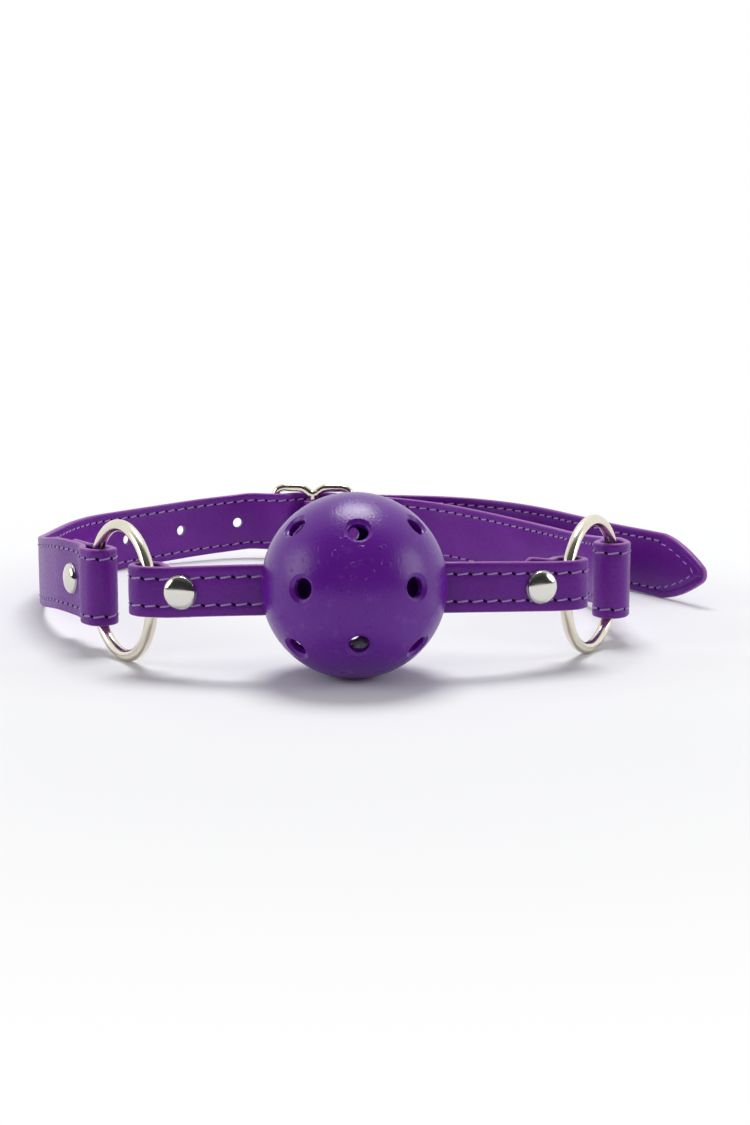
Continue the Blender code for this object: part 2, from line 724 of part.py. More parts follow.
front_rivets = []
for name, loop, way in (
        ("front_rivet_left", front_left_loop, 1), ("front_rivet_right", front_right_loop, -1)):
    run = run_beyond(front_mid, loop, FRONT_RIVET_RUN, way)
    front_rivets += rivet(name, front_mid, run, -1, front_plies)
buckle_loop = (BUCKLE_PLAN, buckle_point(-BAR_RADIUS / MM - 3.0, 0).xy)
rear_rivets = rivet(
    "rear_rivet_left", billet_mid, run_beyond(billet_mid, rear_left_loop, REAR_RIVET_RUN, 1), 1, billet_plies)
rear_rivets += rivet(
    "rear_rivet_right", buckle_mid, run_beyond(buckle_mid, rear_right_loop, REAR_RIVET_RUN, 1), -1,
    buckle_plies)
rear_rivets += rivet(
    "buckle_rivet", buckle_mid, run_beyond(buckle_mid, buckle_loop, BUCKLE_RIVET_RUN, -1), -1, buckle_plies)


# ---------------------------------------------------------------- the buckle

def frame_outline():
    """The middle line of the buckle's frame, from its waist round one end to the other."""
    half_length = FRAME_LENGTH / 2 - FRAME_WIRE
    half_height = FRAME_HEIGHT / 2 - FRAME_WIRE
    corner = FRAME_CORNER * (1 - sqrt(0.5))
    quarter = [
        (0.0, half_height - WAIST_DEPTH), (WAIST_HALF_LENGTH * 0.55, half_height - WAIST_DEPTH * 0.5),
        (WAIST_HALF_LENGTH, half_height - WAIST_DEPTH * 0.1), (WAIST_HALF_LENGTH * 1.6, half_height),
        (half_length - FRAME_CORNER, half_height), (half_length - corner, half_height - corner),
        (half_length, half_height - FRAME_CORNER), (half_length, 0.0)]
    right = quarter + [(s, -z) for s, z in quarter[-2::-1]]
    left = [(-s, z) for s, z in right[-2:0:-1]]
    return right + left


def buckle_frame():
    points = [buckle_point(s / MM, 0, BUCKLE_HEIGHT + z) for s, z in frame_outline()]
    tallest = FRAME_HEIGHT / 2 - FRAME_WIRE
    outline = thinned(smooth_route(points, closed=True, samples=8), turn=radians(16), reach=5 * MM)
    for point in outline:
        point.z = max(BUCKLE_HEIGHT - tallest, min(BUCKLE_HEIGHT + tallest, point.z))
    frame = add_object(
        "buckle_frame", tube_mesh("buckle_frame", outline, FRAME_WIRE, 2, closed=True), PARTS, NICKEL)
    bar_length = FRAME_HEIGHT - 2 * FRAME_WIRE - 2 * WAIST_DEPTH
    bar = add_cutter(
        "centre_bar", cylinder_mesh("centre_bar", BAR_RADIUS, bar_length, 12),
        Matrix.Translation(buckle_point(0, 0)))
    cut(frame, bar, "UNION")
    return frame


def prong_line():
    """The middle line of the prong from its eye on the centre bar to its tip on the frame's outside."""
    rest = (FRAME_WIRE + PRONG_RADIUS + BAR_CLEARANCE / 3) / MM
    end = (FRAME_LENGTH / 2 + 0.3 * MM) / MM
    eye = (BAR_RADIUS + BAR_CLEARANCE + PRONG_RADIUS) / MM
    return [
        buckle_point(-eye * 0.8, eye * 0.55), buckle_point(-5.0, 1.15), buckle_point(-8.5, 1.75),
        buckle_point(-end * 0.82, rest - 0.15), buckle_point(-end, rest)]


def buckle_prong():
    line = smooth_route(prong_line(), samples=3)
    count = len(line) - 1
    radii = [1.0 + (PRONG_TIP_RADIUS / PRONG_RADIUS - 1.0) * (i / count) ** 2 for i in range(count + 1)]
    shaft = add_cutter("prong_shaft", tube_mesh("prong_shaft", line, PRONG_RADIUS, 2, radii=radii))
    eye_radius = (BAR_RADIUS + BAR_CLEARANCE + PRONG_RADIUS) / MM
    eye_points = [
        buckle_point(eye_radius * cos(2 * pi * i / 16), eye_radius * sin(2 * pi * i / 16)) for i in range(16)]
    prong = add_object(
        "buckle_prong", tube_mesh("buckle_prong", eye_points, PRONG_RADIUS, 2, closed=True), PARTS, NICKEL)
    cut(prong, shaft, "UNION")
    return prong


frame = buckle_frame()
prong = buckle_prong()

slot_size = (2 * PRONG_SLOT_RUN, 9 * MM, 2 * (PRONG_RADIUS + 0.5 * MM))
eye_slot = add_cutter(
    "eye_slot", box_mesh("eye_slot", slot_size),
    Matrix.Translation(buckle_point(0, 0)) @ Matrix.Rotation(BUCKLE_TURN, 4, "Z"))
for ply in buckle_plies:
    cut(ply, eye_slot)

prong_path = smooth_route(prong_line(), samples=8)
crossing = buckle_point(*BILLET_CROSSING)
prong_run = run_near(prong_path, crossing.xy)
prong_place, prong_heading = point_at(prong_path, prong_run)
swing_out = (prong_place.xy - BUCKLE_PLAN).length * sin(PRONG_SWING)
oval = cylinder_mesh("prong_hole", PRONG_RADIUS + 0.3 * MM, 9 * MM, 12)
widen = 1 + swing_out / 2 / (PRONG_RADIUS + 0.3 * MM)
oval.transform(Matrix.Diagonal((widen, 1.0, 1.0, 1.0)))
outward = -left_of(prong_heading.xy)
shift = Vector((*(outward * swing_out / 2), 0.0))
prong_hole = add_cutter("prong_hole", oval, facing(prong_place + shift, prong_heading))

billet_cross_run = run_near(billet_mid, crossing.xy)
hole_cutters = [prong_hole]
for k in (*range(-HOLES_BEFORE_PRONG, 0), *range(1, HOLES_AFTER_PRONG + 1)):
    place, heading = point_at(billet_mid, billet_cross_run + k * HOLE_PITCH)
    across = Vector((*left_of(heading.xy.normalized()), 0.0))
    name = f"billet_hole_{k + HOLES_BEFORE_PRONG}"
    hole_cutters.append(
        add_cutter(name, cylinder_mesh(name, HOLE_RADIUS, STRAP_THICKNESS + 2 * MM, 14), facing(place, across)))
for hole in hole_cutters:
    for ply in billet_plies:
        cut(ply, hole)


# ---------------------------------------------------------------- bodies and their axes

def empty_at(name, place, parent=None):
    axis = bpy.data.objects.new(name, None)
    axis.empty_display_size = 5 * MM
    PARTS.objects.link(axis)
    axis.location = place
    attach([axis], parent)
    return axis


def attach(things, parent):
    """Parent the things where they stand, with whatever cuts them."""
    bpy.context.view_layer.update()
    for thing in things:
        if parent is None:
            continue
        for each in (thing, *(m.object for m in thing.modifiers if m.type == "BOOLEAN")):
            if each.parent is None:
                each.parent = parent
                each.matrix_parent_inverse = parent.matrix_world.inverted()


def at_height(plan, height):
    return Vector((*plan, height))


origin = empty_at("part_origin", (0, 0, 0))
ring_left_axis = empty_at("ring_left_axis", at_height(rear_left_loop[0], REAR_RING_HEIGHT), origin)
front_strap_axis = empty_at(
    "front_strap_axis", at_height(front_left_loop[0], FRONT_RING_HEIGHT), ring_left_axis)
ball_axis_empty = empty_at("ball_slide_axis", (0, 0, strap_height_in_ball), front_strap_axis)
ring_right_axis = empty_at("ring_right_axis", at_height(rear_right_loop[0], REAR_RING_HEIGHT), origin)
prong_axis = empty_at("prong_axis", buckle_point(0, 0), origin)
attach([*billet_plies, *buckle_plies, *rear_rivets, frame], origin)
attach([ring_left], ring_left_axis)
attach([*front_plies, *front_rivets], front_strap_axis)
attach([ball_front, ball_rear], ball_axis_empty)
attach([ring_right], ring_right_axis)
attach([prong], prong_axis)


def world_box():
    """The least and greatest corners of all the parts as they stand."""
    bpy.context.view_layer.update()
    graph = bpy.context.evaluated_depsgraph_get()
    corners = [
        thing.matrix_world @ vertex.co
        for thing in PARTS.objects if thing.type == "MESH"
        for vertex in thing.evaluated_get(graph).data.vertices]
    low = Vector([min(corner[i] for corner in corners) for i in range(3)])
    high = Vector([max(corner[i] for corner in corners) for i in range(3)])
    return low, high


low, high = world_box()
origin.location = (-(low.x + high.x) / 2, -(low.y + high.y) / 2, -low.z)
bpy.context.view_layer.update()
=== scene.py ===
# %% [markdown]
# # A breathable ball gag: finishing pass
# This adult restraint accessory is a perforated plastic ball on a narrow strap. Two standing O-rings join
# that strap to a wider rear strap, which closes in a pin buckle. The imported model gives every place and
# size. Each cell below makes one piece or one finish at full detail and hangs it on the moving body that
# carries it. We start by loading the frame and noting its box, so that the last cell can compare.

# %% Load the frame
import bpy
import bmesh
from math import acos, cos, pi, radians, sin, sqrt, tau
from mathutils import Matrix, Vector

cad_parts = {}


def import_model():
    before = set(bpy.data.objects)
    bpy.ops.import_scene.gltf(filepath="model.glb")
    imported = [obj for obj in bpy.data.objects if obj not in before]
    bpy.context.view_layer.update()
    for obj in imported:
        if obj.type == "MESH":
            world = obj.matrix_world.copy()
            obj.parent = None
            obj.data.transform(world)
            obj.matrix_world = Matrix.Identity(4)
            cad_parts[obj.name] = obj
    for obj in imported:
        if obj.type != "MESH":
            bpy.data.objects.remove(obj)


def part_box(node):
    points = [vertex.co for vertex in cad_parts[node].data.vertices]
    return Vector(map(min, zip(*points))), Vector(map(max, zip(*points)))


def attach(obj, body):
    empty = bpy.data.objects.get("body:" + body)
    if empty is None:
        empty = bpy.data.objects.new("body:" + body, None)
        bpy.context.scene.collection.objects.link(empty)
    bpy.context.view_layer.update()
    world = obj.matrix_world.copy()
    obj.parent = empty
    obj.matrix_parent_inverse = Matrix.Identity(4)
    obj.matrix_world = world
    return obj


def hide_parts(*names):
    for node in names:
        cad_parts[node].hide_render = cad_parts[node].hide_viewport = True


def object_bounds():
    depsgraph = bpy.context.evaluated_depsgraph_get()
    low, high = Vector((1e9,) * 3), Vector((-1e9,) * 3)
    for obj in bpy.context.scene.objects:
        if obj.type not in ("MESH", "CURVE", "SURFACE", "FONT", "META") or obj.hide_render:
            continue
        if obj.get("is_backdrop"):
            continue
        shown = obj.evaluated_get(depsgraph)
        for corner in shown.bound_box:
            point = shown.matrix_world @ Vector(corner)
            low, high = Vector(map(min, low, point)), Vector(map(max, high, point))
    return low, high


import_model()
cad_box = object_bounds()
MM = 0.001

# %% [markdown]
# Blender's scene keeps its colours plain when the view transform is Standard. We set only that.

# %% Plain colours
scene = bpy.context.scene
scene.view_settings.view_transform = "Standard"
print("view transform:", scene.view_settings.view_transform)

# %% [markdown]
# The sizes below are the design's own. A strap's route is laid out about the ball, so one shift moves
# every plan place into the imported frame. We read that shift from where the left ring really stands.

# %% Sizes
BALL_RADIUS, BALL_WALL = 22.5 * MM, 2.0 * MM
BALL_YAW, BALL_TILT = radians(4.3), radians(-7.5)
VENT_RADIUS = 2.4 * MM
VENT_LEANS = ((radians(36.7), 0.0), (radians(65.4), radians(45.0)))
VENTS_PER_RING = 4
PLY, PLY_GAP, LAYER_GAP = 0.8 * MM, 0.2 * MM, 0.5 * MM
STRAP_THICKNESS = 2 * PLY + PLY_GAP
FRONT_WIDTH, REAR_WIDTH = 12.5 * MM, 20.0 * MM
FRONT_RING_HEIGHT, REAR_RING_HEIGHT = 20.5 * MM, 17.4 * MM
STRAP_IN_BALL = BALL_RADIUS - 0.8 * MM
BEND_START, NECK_RUN = 2.5 * MM, 2.0 * MM
CORNER_CLIP, TIP_LENGTH, TIP_END_WIDTH = 2.5 * MM, 20.0 * MM, 3.0 * MM
RING_WIRE, RING_RADIUS, RING_CLEARANCE = 1.5 * MM, 16.5 * MM, 0.75 * MM
RING_HEIGHT = RING_RADIUS + RING_WIRE
RING_SWING = radians(8.0)
LEFT_RING_PLAN, LEFT_RING_TURN = Vector((-58.7, 19.0)) * MM, radians(124.0)
RIGHT_RING_PLAN, RIGHT_RING_TURN = Vector((60.7, 29.0)) * MM, radians(60.6)
CAP_RADIUS, CAP_HEIGHT, CAP_RIM = 4.1 * MM, 1.9 * MM, 0.4 * MM
BACK_RADIUS, BACK_HEIGHT, POST_RADIUS = 3.0 * MM, 1.0 * MM, 1.5 * MM
FRONT_RIVET_RUN, FRONT_FLAP_RUN = 10.0 * MM, 14.6 * MM
REAR_RIVET_RUN, REAR_FLAP_RUN = 14.5 * MM, 22.0 * MM
BUCKLE_RIVET_RUN, BUCKLE_FLAP_RUN = 25.0 * MM, 33.0 * MM
BUCKLE_PLAN, BUCKLE_TURN = Vector((-17.0, 192.6)) * MM, radians(-5.5)
FRAME_WIRE, FRAME_LENGTH, FRAME_HEIGHT = 1.4 * MM, 30.0 * MM, 26.6 * MM
WAIST_DEPTH, WAIST_HALF_LENGTH, FRAME_CORNER = 2.3 * MM, 3.8 * MM, 3.4 * MM
BAR_RADIUS, BAR_CLEARANCE = 1.3 * MM, 0.3 * MM
PRONG_RADIUS, PRONG_TIP_RADIUS, PRONG_SLOT_RUN = 0.95 * MM, 0.65 * MM, 7.5 * MM
PRONG_SWING = radians(6.0)
HOLE_RADIUS, HOLE_PITCH, HOLES_BEFORE_PRONG, HOLES_AFTER_PRONG = 1.7 * MM, 22.0 * MM, 3, 2
BILLET_CROSSING = (-6.6, 1.45)
BUCKLE_HEIGHT = FRAME_HEIGHT / 2

low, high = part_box("ring_left")
ring_middle = (low + high).xy / 2
SHIFT = ring_middle - LEFT_RING_PLAN
print("plan shift in mm:", [round(v / MM, 3) for v in SHIFT])

# %% [markdown]
# The rear straps follow given points, as on the model: plan place and centre height.

# %% Rear strap points
BILLET_SIDE = (
    (-81.5, 54.5, 16.6), (-88.6, 72.0, 14.2), (-93.6, 92.0, 11.8), (-95.2, 110.0, 10.3),
    (-94.6, 126.0, 10.0), (-92.9, 141.0, 10.0), (-88.6, 155.5, 10.0), (-81.2, 166.0, 10.2),
    (-70.6, 175.4, 10.9), (-56.8, 185.2, 12.0), (-45.0, 191.6, 12.8))
BILLET_TAIL = (
    (31.5, 187.6, 12.6), (48.6, 179.4, 12.0), (61.0, 167.0, 11.4), (71.5, 149.5, 10.8),
    (81.0, 131.5, 10.4), (92.0, 113.0, 10.2), (103.0, 92.0, 10.0))
BUCKLE_SIDE = (
    (70.2, 62.0, 15.6), (70.4, 78.0, 13.6), (68.6, 94.0, 11.8), (65.4, 110.0, 10.6),
    (60.4, 126.0, 10.1), (52.2, 142.8, 10.2), (41.2, 158.0, 11.0), (27.0, 171.8, 12.2))


def side_points(rows):
    return [Vector(row) * MM for row in rows]


print("hand-set points:", len(BILLET_SIDE) + len(BILLET_TAIL) + len(BUCKLE_SIDE))

# %% [markdown]
# ## Curves in plan
# A strap can't be stretched or folded by eye, so its middle line is a smooth curve through a few points.
# A centripetal Catmull-Rom curve passes through every point and doesn't swing wide at close ones, which
# is why it is used here and not a Bezier curve with automatic handles.

# %% A smooth route
def smooth_route(points, closed=False, samples=24):
    """Close samples of a centripetal Catmull-Rom curve through the points."""
    count = len(points)
    dense = []
    for i in range(count if closed else count - 1):
        near, far = points[i], points[(i + 1) % count]
        before = points[(i - 1) % count] if closed or i else near * 2 - far
        after = points[(i + 2) % count] if closed or i + 2 < count else far * 2 - near
        knots = [0.0]
        for start, end in ((before, near), (near, far), (far, after)):
            knots.append(knots[-1] + sqrt((end - start).length))
        a, b, c, d = knots
        for k in range(samples):
            t = b + (c - b) * k / samples
            p = before * ((b - t) / (b - a)) + near * ((t - a) / (b - a))
            q = near * ((c - t) / (c - b)) + far * ((t - b) / (c - b))
            r = far * ((d - t) / (d - c)) + after * ((t - c) / (d - c))
            s = p * ((c - t) / (c - a)) + q * ((t - a) / (c - a))
            u = q * ((d - t) / (d - b)) + r * ((t - b) / (d - b))
            dense.append(s * ((c - t) / (c - b)) + u * ((t - b) / (c - b)))
    return dense if closed else dense + [points[-1].copy()]


def along(points):
    """The distance run at each point."""
    runs = [0.0]
    for last, point in zip(points, points[1:]):
        runs.append(runs[-1] + (point - last).length)
    return runs


def point_at(points, run):
    """The place and the travel direction at a distance along the points."""
    runs = along(points)
    for i in range(len(points) - 1):
        if runs[i + 1] >= run and runs[i + 1] > runs[i]:
            step = points[i + 1] - points[i]
            return points[i] + step * ((run - runs[i]) / (runs[i + 1] - runs[i])), step.normalized()
    return points[-1], (points[-1] - points[-2]).normalized()


print("samples between two points:", len(smooth_route([Vector((0, 0)), Vector((1, 0))])) - 1)

# %% [markdown]
# Offsets to the side make the flaps, which lie beside the strap that they fold back on.

# %% Sideways and nearest places
def unit(angle):
    return Vector((cos(angle), sin(angle)))


def left_of(direction):
    return Vector((-direction.y, direction.x))


def headings(points):
    """The plan travel direction at each point, the mean of the steps before and after it."""
    steps = [(b - a).xy.normalized() for a, b in zip(points, points[1:])]
    inner = [(a + b).normalized() for a, b in zip(steps, steps[1:])]
    return [steps[0], *inner, steps[-1]]


def sideways(points, distance):
    return [
        Vector((*(point.xy + left_of(way) * distance), point.z))
        for point, way in zip(points, headings(points))]


def run_near(points, place):
    """The distance along the points at their nearest approach to a plan place."""
    runs = along(points)
    best = (1e9, 0.0)
    for i in range(len(points) - 1):
        step = (points[i + 1] - points[i]).xy
        share = max(0.0, min(1.0, (place - points[i].xy).dot(step) / max(step.length_squared, 1e-18)))
        gap = (points[i].xy + step * share - place).length
        best = min(best, (gap, runs[i] + share * (runs[i + 1] - runs[i])))
    return best[1]


def spaced(points, reach=5 * MM, end_reach=2.5 * MM):
    """The points past reach from the one kept before and end_reach from the last one, and both ends."""
    kept = [points[0]]
    for point in points[1:-1]:
        if (point - kept[-1]).length > reach and (point - points[-1]).length > end_reach:
            kept.append(point)
    return kept + [points[-1]]


FLAP_END_GAP = 1.5 * MM


def flap_beside(points, side, run):
    """A short run beside the start of the points, in order from its free end to their first point."""
    offset = sideways(points, side * (STRAP_THICKNESS + LAYER_GAP))
    end, _ = point_at(offset, run)
    inner = [
        point for point, passed in zip(offset, along(offset))
        if FLAP_END_GAP < passed < run - FLAP_END_GAP]
    return [end] + inner[::-1]


print("left of +X is", tuple(left_of(Vector((1, 0)))))

# %% [markdown]
# Each strap folds round a ring's wire and is riveted to itself. The wire of a standing ring curves away
# inside a tall fold, so the pocket is a little longer than the wire is thick.

# %% A fold about a ring
def loop_about_wire(wire, radial, pull, width, height, turn):
    """Control points of a fold in travel order, its pocket's centre, its neck and its far end."""
    reach = max(abs(height - RING_HEIGHT - width / 2), abs(height - RING_HEIGHT + width / 2))
    bow = RING_RADIUS - sqrt(RING_RADIUS ** 2 - reach ** 2)
    axis = (radial + pull).normalized()
    skew = acos(max(-1.0, min(1.0, axis.dot(radial))))
    half_width = RING_WIRE + RING_CLEARANCE + bow / 2 * sin(skew + RING_SWING)
    half_length = RING_WIRE + RING_CLEARANCE + bow / 2
    centre = wire + radial * (bow / 2)
    radius = half_width + STRAP_THICKNESS / 2
    straight = max(0.0, half_length - half_width)
    start_side = -left_of(axis) * turn
    neck = (STRAP_THICKNESS + LAYER_GAP) / 2
    neck_centre = centre - axis * (straight + radius + NECK_RUN)
    points = [neck_centre + start_side * neck, centre - axis * straight + start_side * radius]
    for step in range(9):
        angle = pi * step / 8
        points.append(centre + axis * (straight + radius * sin(angle)) + start_side * radius * cos(angle))
    points += [centre - axis * straight - start_side * radius, neck_centre - start_side * neck]
    fold = centre + axis * (straight + radius)
    return [Vector((*point, height)) for point in points], centre, neck_centre, fold


left_radial, right_radial = unit(LEFT_RING_TURN), unit(RIGHT_RING_TURN)
left_near, left_far = (LEFT_RING_PLAN + left_radial * RING_RADIUS * way for way in (-1, 1))
right_near, right_far = (RIGHT_RING_PLAN + right_radial * RING_RADIUS * way for way in (-1, 1))
for name, place in (("near", left_near), ("far", left_far)):
    print("left ring's", name, "wire in mm:", [round(v / MM, 1) for v in place])

# %% [markdown]
# The front strap runs from its left flap, round the left ring, through the ball and round the right ring.

# %% Route of the front strap
def front_route():
    bend = unit(BALL_YAW) * (BALL_RADIUS + BEND_START)
    left_bend, right_bend = Vector((*-bend, STRAP_IN_BALL)), Vector((*bend, STRAP_IN_BALL))
    left_pull = (left_near - left_bend.xy).normalized()
    right_pull = (right_near - right_bend.xy).normalized()
    left_loop, left_pocket, left_neck, left_fold = loop_about_wire(
        left_near, left_radial, left_pull, FRONT_WIDTH, FRONT_RING_HEIGHT, 1)
    right_loop, right_pocket, right_neck, right_fold = loop_about_wire(
        right_near, right_radial, right_pull, FRONT_WIDTH, FRONT_RING_HEIGHT, 1)
    middle = Vector((0, 0, STRAP_IN_BALL))
    main = spaced(smooth_route([left_loop[-1], left_bend, middle, right_bend, right_loop[0]]), 4 * MM, 0.0)
    left_flap = flap_beside(main, 1, FRONT_FLAP_RUN - (left_neck - left_pocket).length)
    right_flap = flap_beside(main[::-1], -1, FRONT_FLAP_RUN - (right_neck - right_pocket).length)[::-1]
    route = [*left_flap, *left_loop, *main[1:-1], *right_loop, *right_flap]
    return smooth_route(route, samples=12), (left_pocket, left_fold), (right_pocket, right_fold)


front_mid, front_left_loop, front_right_loop = front_route()
print("front strap, flaps and folds included:", round(along(front_mid)[-1] / MM), "mm")

# %% [markdown]
# The billet passes inside the buckle's left side, out over the centre bar and back inside its right side.
# The buckle strap folds round the centre bar under it. Both are set out in the buckle's own directions:
# s along the strap from the bar and n outwards, in millimetres.

# %% Routes of the rear straps
def buckle_point(s, n, height=BUCKLE_HEIGHT):
    run = unit(BUCKLE_TURN)
    return Vector((*(BUCKLE_PLAN + run * (s * MM) + left_of(run) * (n * MM)), height))


def clear_of_floor(points):
    """The points with none lower than lets a rear strap rest on the floor."""
    return [Vector((*point.xy, max(point.z, REAR_WIDTH / 2))) for point in points]


def billet_route():
    first = side_points(BILLET_SIDE)
    loop, pocket, neck, fold = loop_about_wire(
        left_far, -left_radial, (left_far - first[0].xy).normalized(), REAR_WIDTH, REAR_RING_HEIGHT, -1)
    centre = STRAP_THICKNESS / 2 / MM
    bar_out = (BAR_RADIUS + BAR_CLEARANCE + STRAP_THICKNESS + LAYER_GAP) / MM + centre
    side_in = -(FRAME_WIRE + LAYER_GAP) / MM - centre
    side = (FRAME_LENGTH / 2 - FRAME_WIRE) / MM
    through = [
        buckle_point(-side - 9, side_in + 0.7), buckle_point(-side, side_in),
        buckle_point(-side * 0.72, side_in * 0.62), buckle_point(*BILLET_CROSSING),
        buckle_point(-side * 0.22, bar_out - 0.75), buckle_point(0.4, bar_out),
        buckle_point(side * 0.3, bar_out - 0.9), buckle_point(side * 0.6, bar_out * 0.24),
        buckle_point(side * 0.82, side_in * 0.72), buckle_point(side, side_in - 0.25),
        buckle_point(side + 9, side_in + 0.2)]
    main = [loop[-1], *first, *through, *side_points(BILLET_TAIL)]
    flap = flap_beside(smooth_route(main[:4]), -1, REAR_FLAP_RUN - (neck - pocket).length)
    return clear_of_floor(smooth_route([*spaced(flap), *loop, *main[1:]])), (pocket, fold)


def buckle_route():
    first = side_points(BUCKLE_SIDE)
    loop, pocket, neck, fold = loop_about_wire(
        right_far, -right_radial, (right_far - first[0].xy).normalized(), REAR_WIDTH, REAR_RING_HEIGHT, 1)
    centre = STRAP_THICKNESS / 2 / MM
    radius = (BAR_RADIUS + BAR_CLEARANCE) / MM + centre
    side = (FRAME_LENGTH / 2 - FRAME_WIRE) / MM
    outer_in = -(FRAME_WIRE + 2 * LAYER_GAP + STRAP_THICKNESS) / MM - centre
    outer = [
        buckle_point(side + 14, outer_in - 5.0), buckle_point(side, outer_in - 0.9),
        buckle_point(side * 0.78, outer_in + 0.75), buckle_point(side * 0.5, -1.35),
        buckle_point(side * 0.2, radius * 0.84)]
    around = [
        buckle_point(-radius * sin(angle), radius * cos(angle))
        for angle in (pi * step / 8 for step in range(9))]
    inner = [buckle_point(side * 0.3, -radius - 0.9), buckle_point(side * 0.62, outer_in - 0.8)]
    leaving = smooth_route([outer[1], outer[0], *first[:-3:-1]])
    inner += spaced(flap_beside(leaving, -1, BUCKLE_FLAP_RUN - side * MM)[::-1])
    flap = flap_beside(smooth_route([loop[-1], *first[:3]]), 1, REAR_FLAP_RUN - (neck - pocket).length)
    route = [*spaced(flap), *loop, *first, *outer, *around, *inner]
    return clear_of_floor(smooth_route(route)), (pocket, fold)


billet_mid, rear_left_loop = billet_route()
buckle_mid, rear_right_loop = buckle_route()
for name, middle_line in (("billet", billet_mid), ("buckle strap", buckle_mid)):
    print(name + ":", round(along(middle_line)[-1] / MM), "mm")

# %% [markdown]
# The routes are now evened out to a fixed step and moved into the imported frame.

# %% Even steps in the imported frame
def lift(plan_point):
    """A plan-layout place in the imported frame."""
    return plan_point + Vector((*SHIFT, 0.0))


def even(points, step):
    """The route at equal steps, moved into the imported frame, with its total length."""
    total = along(points)[-1]
    count = max(2, round(total / step))
    runs = along(points)
    made = []
    i = 0
    for k in range(count + 1):
        want = total * k / count
        while i < len(points) - 2 and runs[i + 1] < want:
            i += 1
        span = max(runs[i + 1] - runs[i], 1e-12)
        made.append(lift(points[i].lerp(points[i + 1], min(1.0, (want - runs[i]) / span))))
    return made, total


front_line, front_total = even(front_mid, 0.6 * MM)
billet_line, billet_total = even(billet_mid, 0.5 * MM)
buckle_line, buckle_total = even(buckle_mid, 0.7 * MM)
print("sections:", len(front_line), len(billet_line), len(buckle_line))

# %% [markdown]
# ## Finishes
# Real surfaces vary a little everywhere. One shared node group gives that variation: slow patches for
# colour, fine grain for bumps, and thin scratches. Every finish below places it with its own scales.

# %% Group: surface variation
def group_socket(group, name, way, kind, value=None):
    socket = group.interface.new_socket(name=name, in_out=way, socket_type=kind)
    if value is not None:
        socket.default_value = value
    return socket


def variation_group():
    group = bpy.data.node_groups.new("surface_variation", "ShaderNodeTree")
    group_socket(group, "Vector", "INPUT", "NodeSocketVector")
    group_socket(group, "Patch Scale", "INPUT", "NodeSocketFloat", 40.0)
    group_socket(group, "Grain Scale", "INPUT", "NodeSocketFloat", 900.0)
    group_socket(group, "Scratch Scale", "INPUT", "NodeSocketFloat", 300.0)
    group_socket(group, "Patches", "OUTPUT", "NodeSocketFloat")
    group_socket(group, "Grain", "OUTPUT", "NodeSocketFloat")
    group_socket(group, "Scratches", "OUTPUT", "NodeSocketFloat")
    nodes, links = group.nodes, group.links
    inside, outside = nodes.new("NodeGroupInput"), nodes.new("NodeGroupOutput")
    patches, grain = nodes.new("ShaderNodeTexNoise"), nodes.new("ShaderNodeTexNoise")
    stretch, scratches, thin = (
        nodes.new("ShaderNodeMapping"), nodes.new("ShaderNodeTexNoise"), nodes.new("ShaderNodeMapRange"))
    patches.inputs["Detail"].default_value = 4.0
    grain.inputs["Detail"].default_value = 3.0
    stretch.inputs["Rotation"].default_value = (0.4, 0.9, 0.6)
    stretch.inputs["Scale"].default_value = (1.0, 0.05, 1.0)
    thin.inputs["From Min"].default_value = 0.62
    thin.inputs["From Max"].default_value = 0.72
    for texture, scale in ((patches, "Patch Scale"), (grain, "Grain Scale"), (scratches, "Scratch Scale")):
        links.new(inside.outputs[scale], texture.inputs["Scale"])
    links.new(inside.outputs["Vector"], patches.inputs["Vector"])
    links.new(inside.outputs["Vector"], grain.inputs["Vector"])
    links.new(inside.outputs["Vector"], stretch.inputs["Vector"])
    links.new(stretch.outputs["Vector"], scratches.inputs["Vector"])
    links.new(scratches.outputs["Fac"], thin.inputs["Value"])
    links.new(patches.outputs["Fac"], outside.inputs["Patches"])
    links.new(grain.outputs["Fac"], outside.inputs["Grain"])
    links.new(thin.outputs["Result"], outside.inputs["Scratches"])
    return group


VARIATION = variation_group()
print("shared group:", VARIATION.name)

# %% [markdown]
# A finish starts as a Principled shader with the group beside it. Small helpers keep each recipe short.

# %% Helpers for finishes
def new_finish(name, patch, grain, scratch):
    material = bpy.data.materials.new(name)
    material.use_nodes = True
    nodes, links = material.node_tree.nodes, material.node_tree.links
    place = nodes.new("ShaderNodeTexCoord")
    variation = nodes.new("ShaderNodeGroup")
    variation.node_tree = VARIATION
    links.new(place.outputs["Object"], variation.inputs["Vector"])
    for socket, value in (("Patch Scale", patch), ("Grain Scale", grain), ("Scratch Scale", scratch)):
        variation.inputs[socket].default_value = value
    return material, nodes, links, nodes["Principled BSDF"], variation


def blend_colour(nodes, links, factor, first, second):
    """A colour between two, each a tuple or another node's socket."""
    mix = nodes.new("ShaderNodeMix")
    mix.data_type = "RGBA"
    links.new(factor, mix.inputs["Factor"])
    for name, value in (("A", first), ("B", second)):
        socket = next(s for s in mix.inputs if s.name == name and s.type == "RGBA")
        if isinstance(value, tuple):
            socket.default_value = (*value, 1.0)
        else:
            links.new(value, socket)
    return next(s for s in mix.outputs if s.type == "RGBA")


def dimmed(tone, share):
    return tuple(v * share for v in tone)


def combined(nodes, links, operation, first, second):
    """One Math node's result from two sockets."""
    node = nodes.new("ShaderNodeMath")
    node.operation = operation
    links.new(first, node.inputs[0])
    links.new(second, node.inputs[1])
    return node.outputs["Value"]


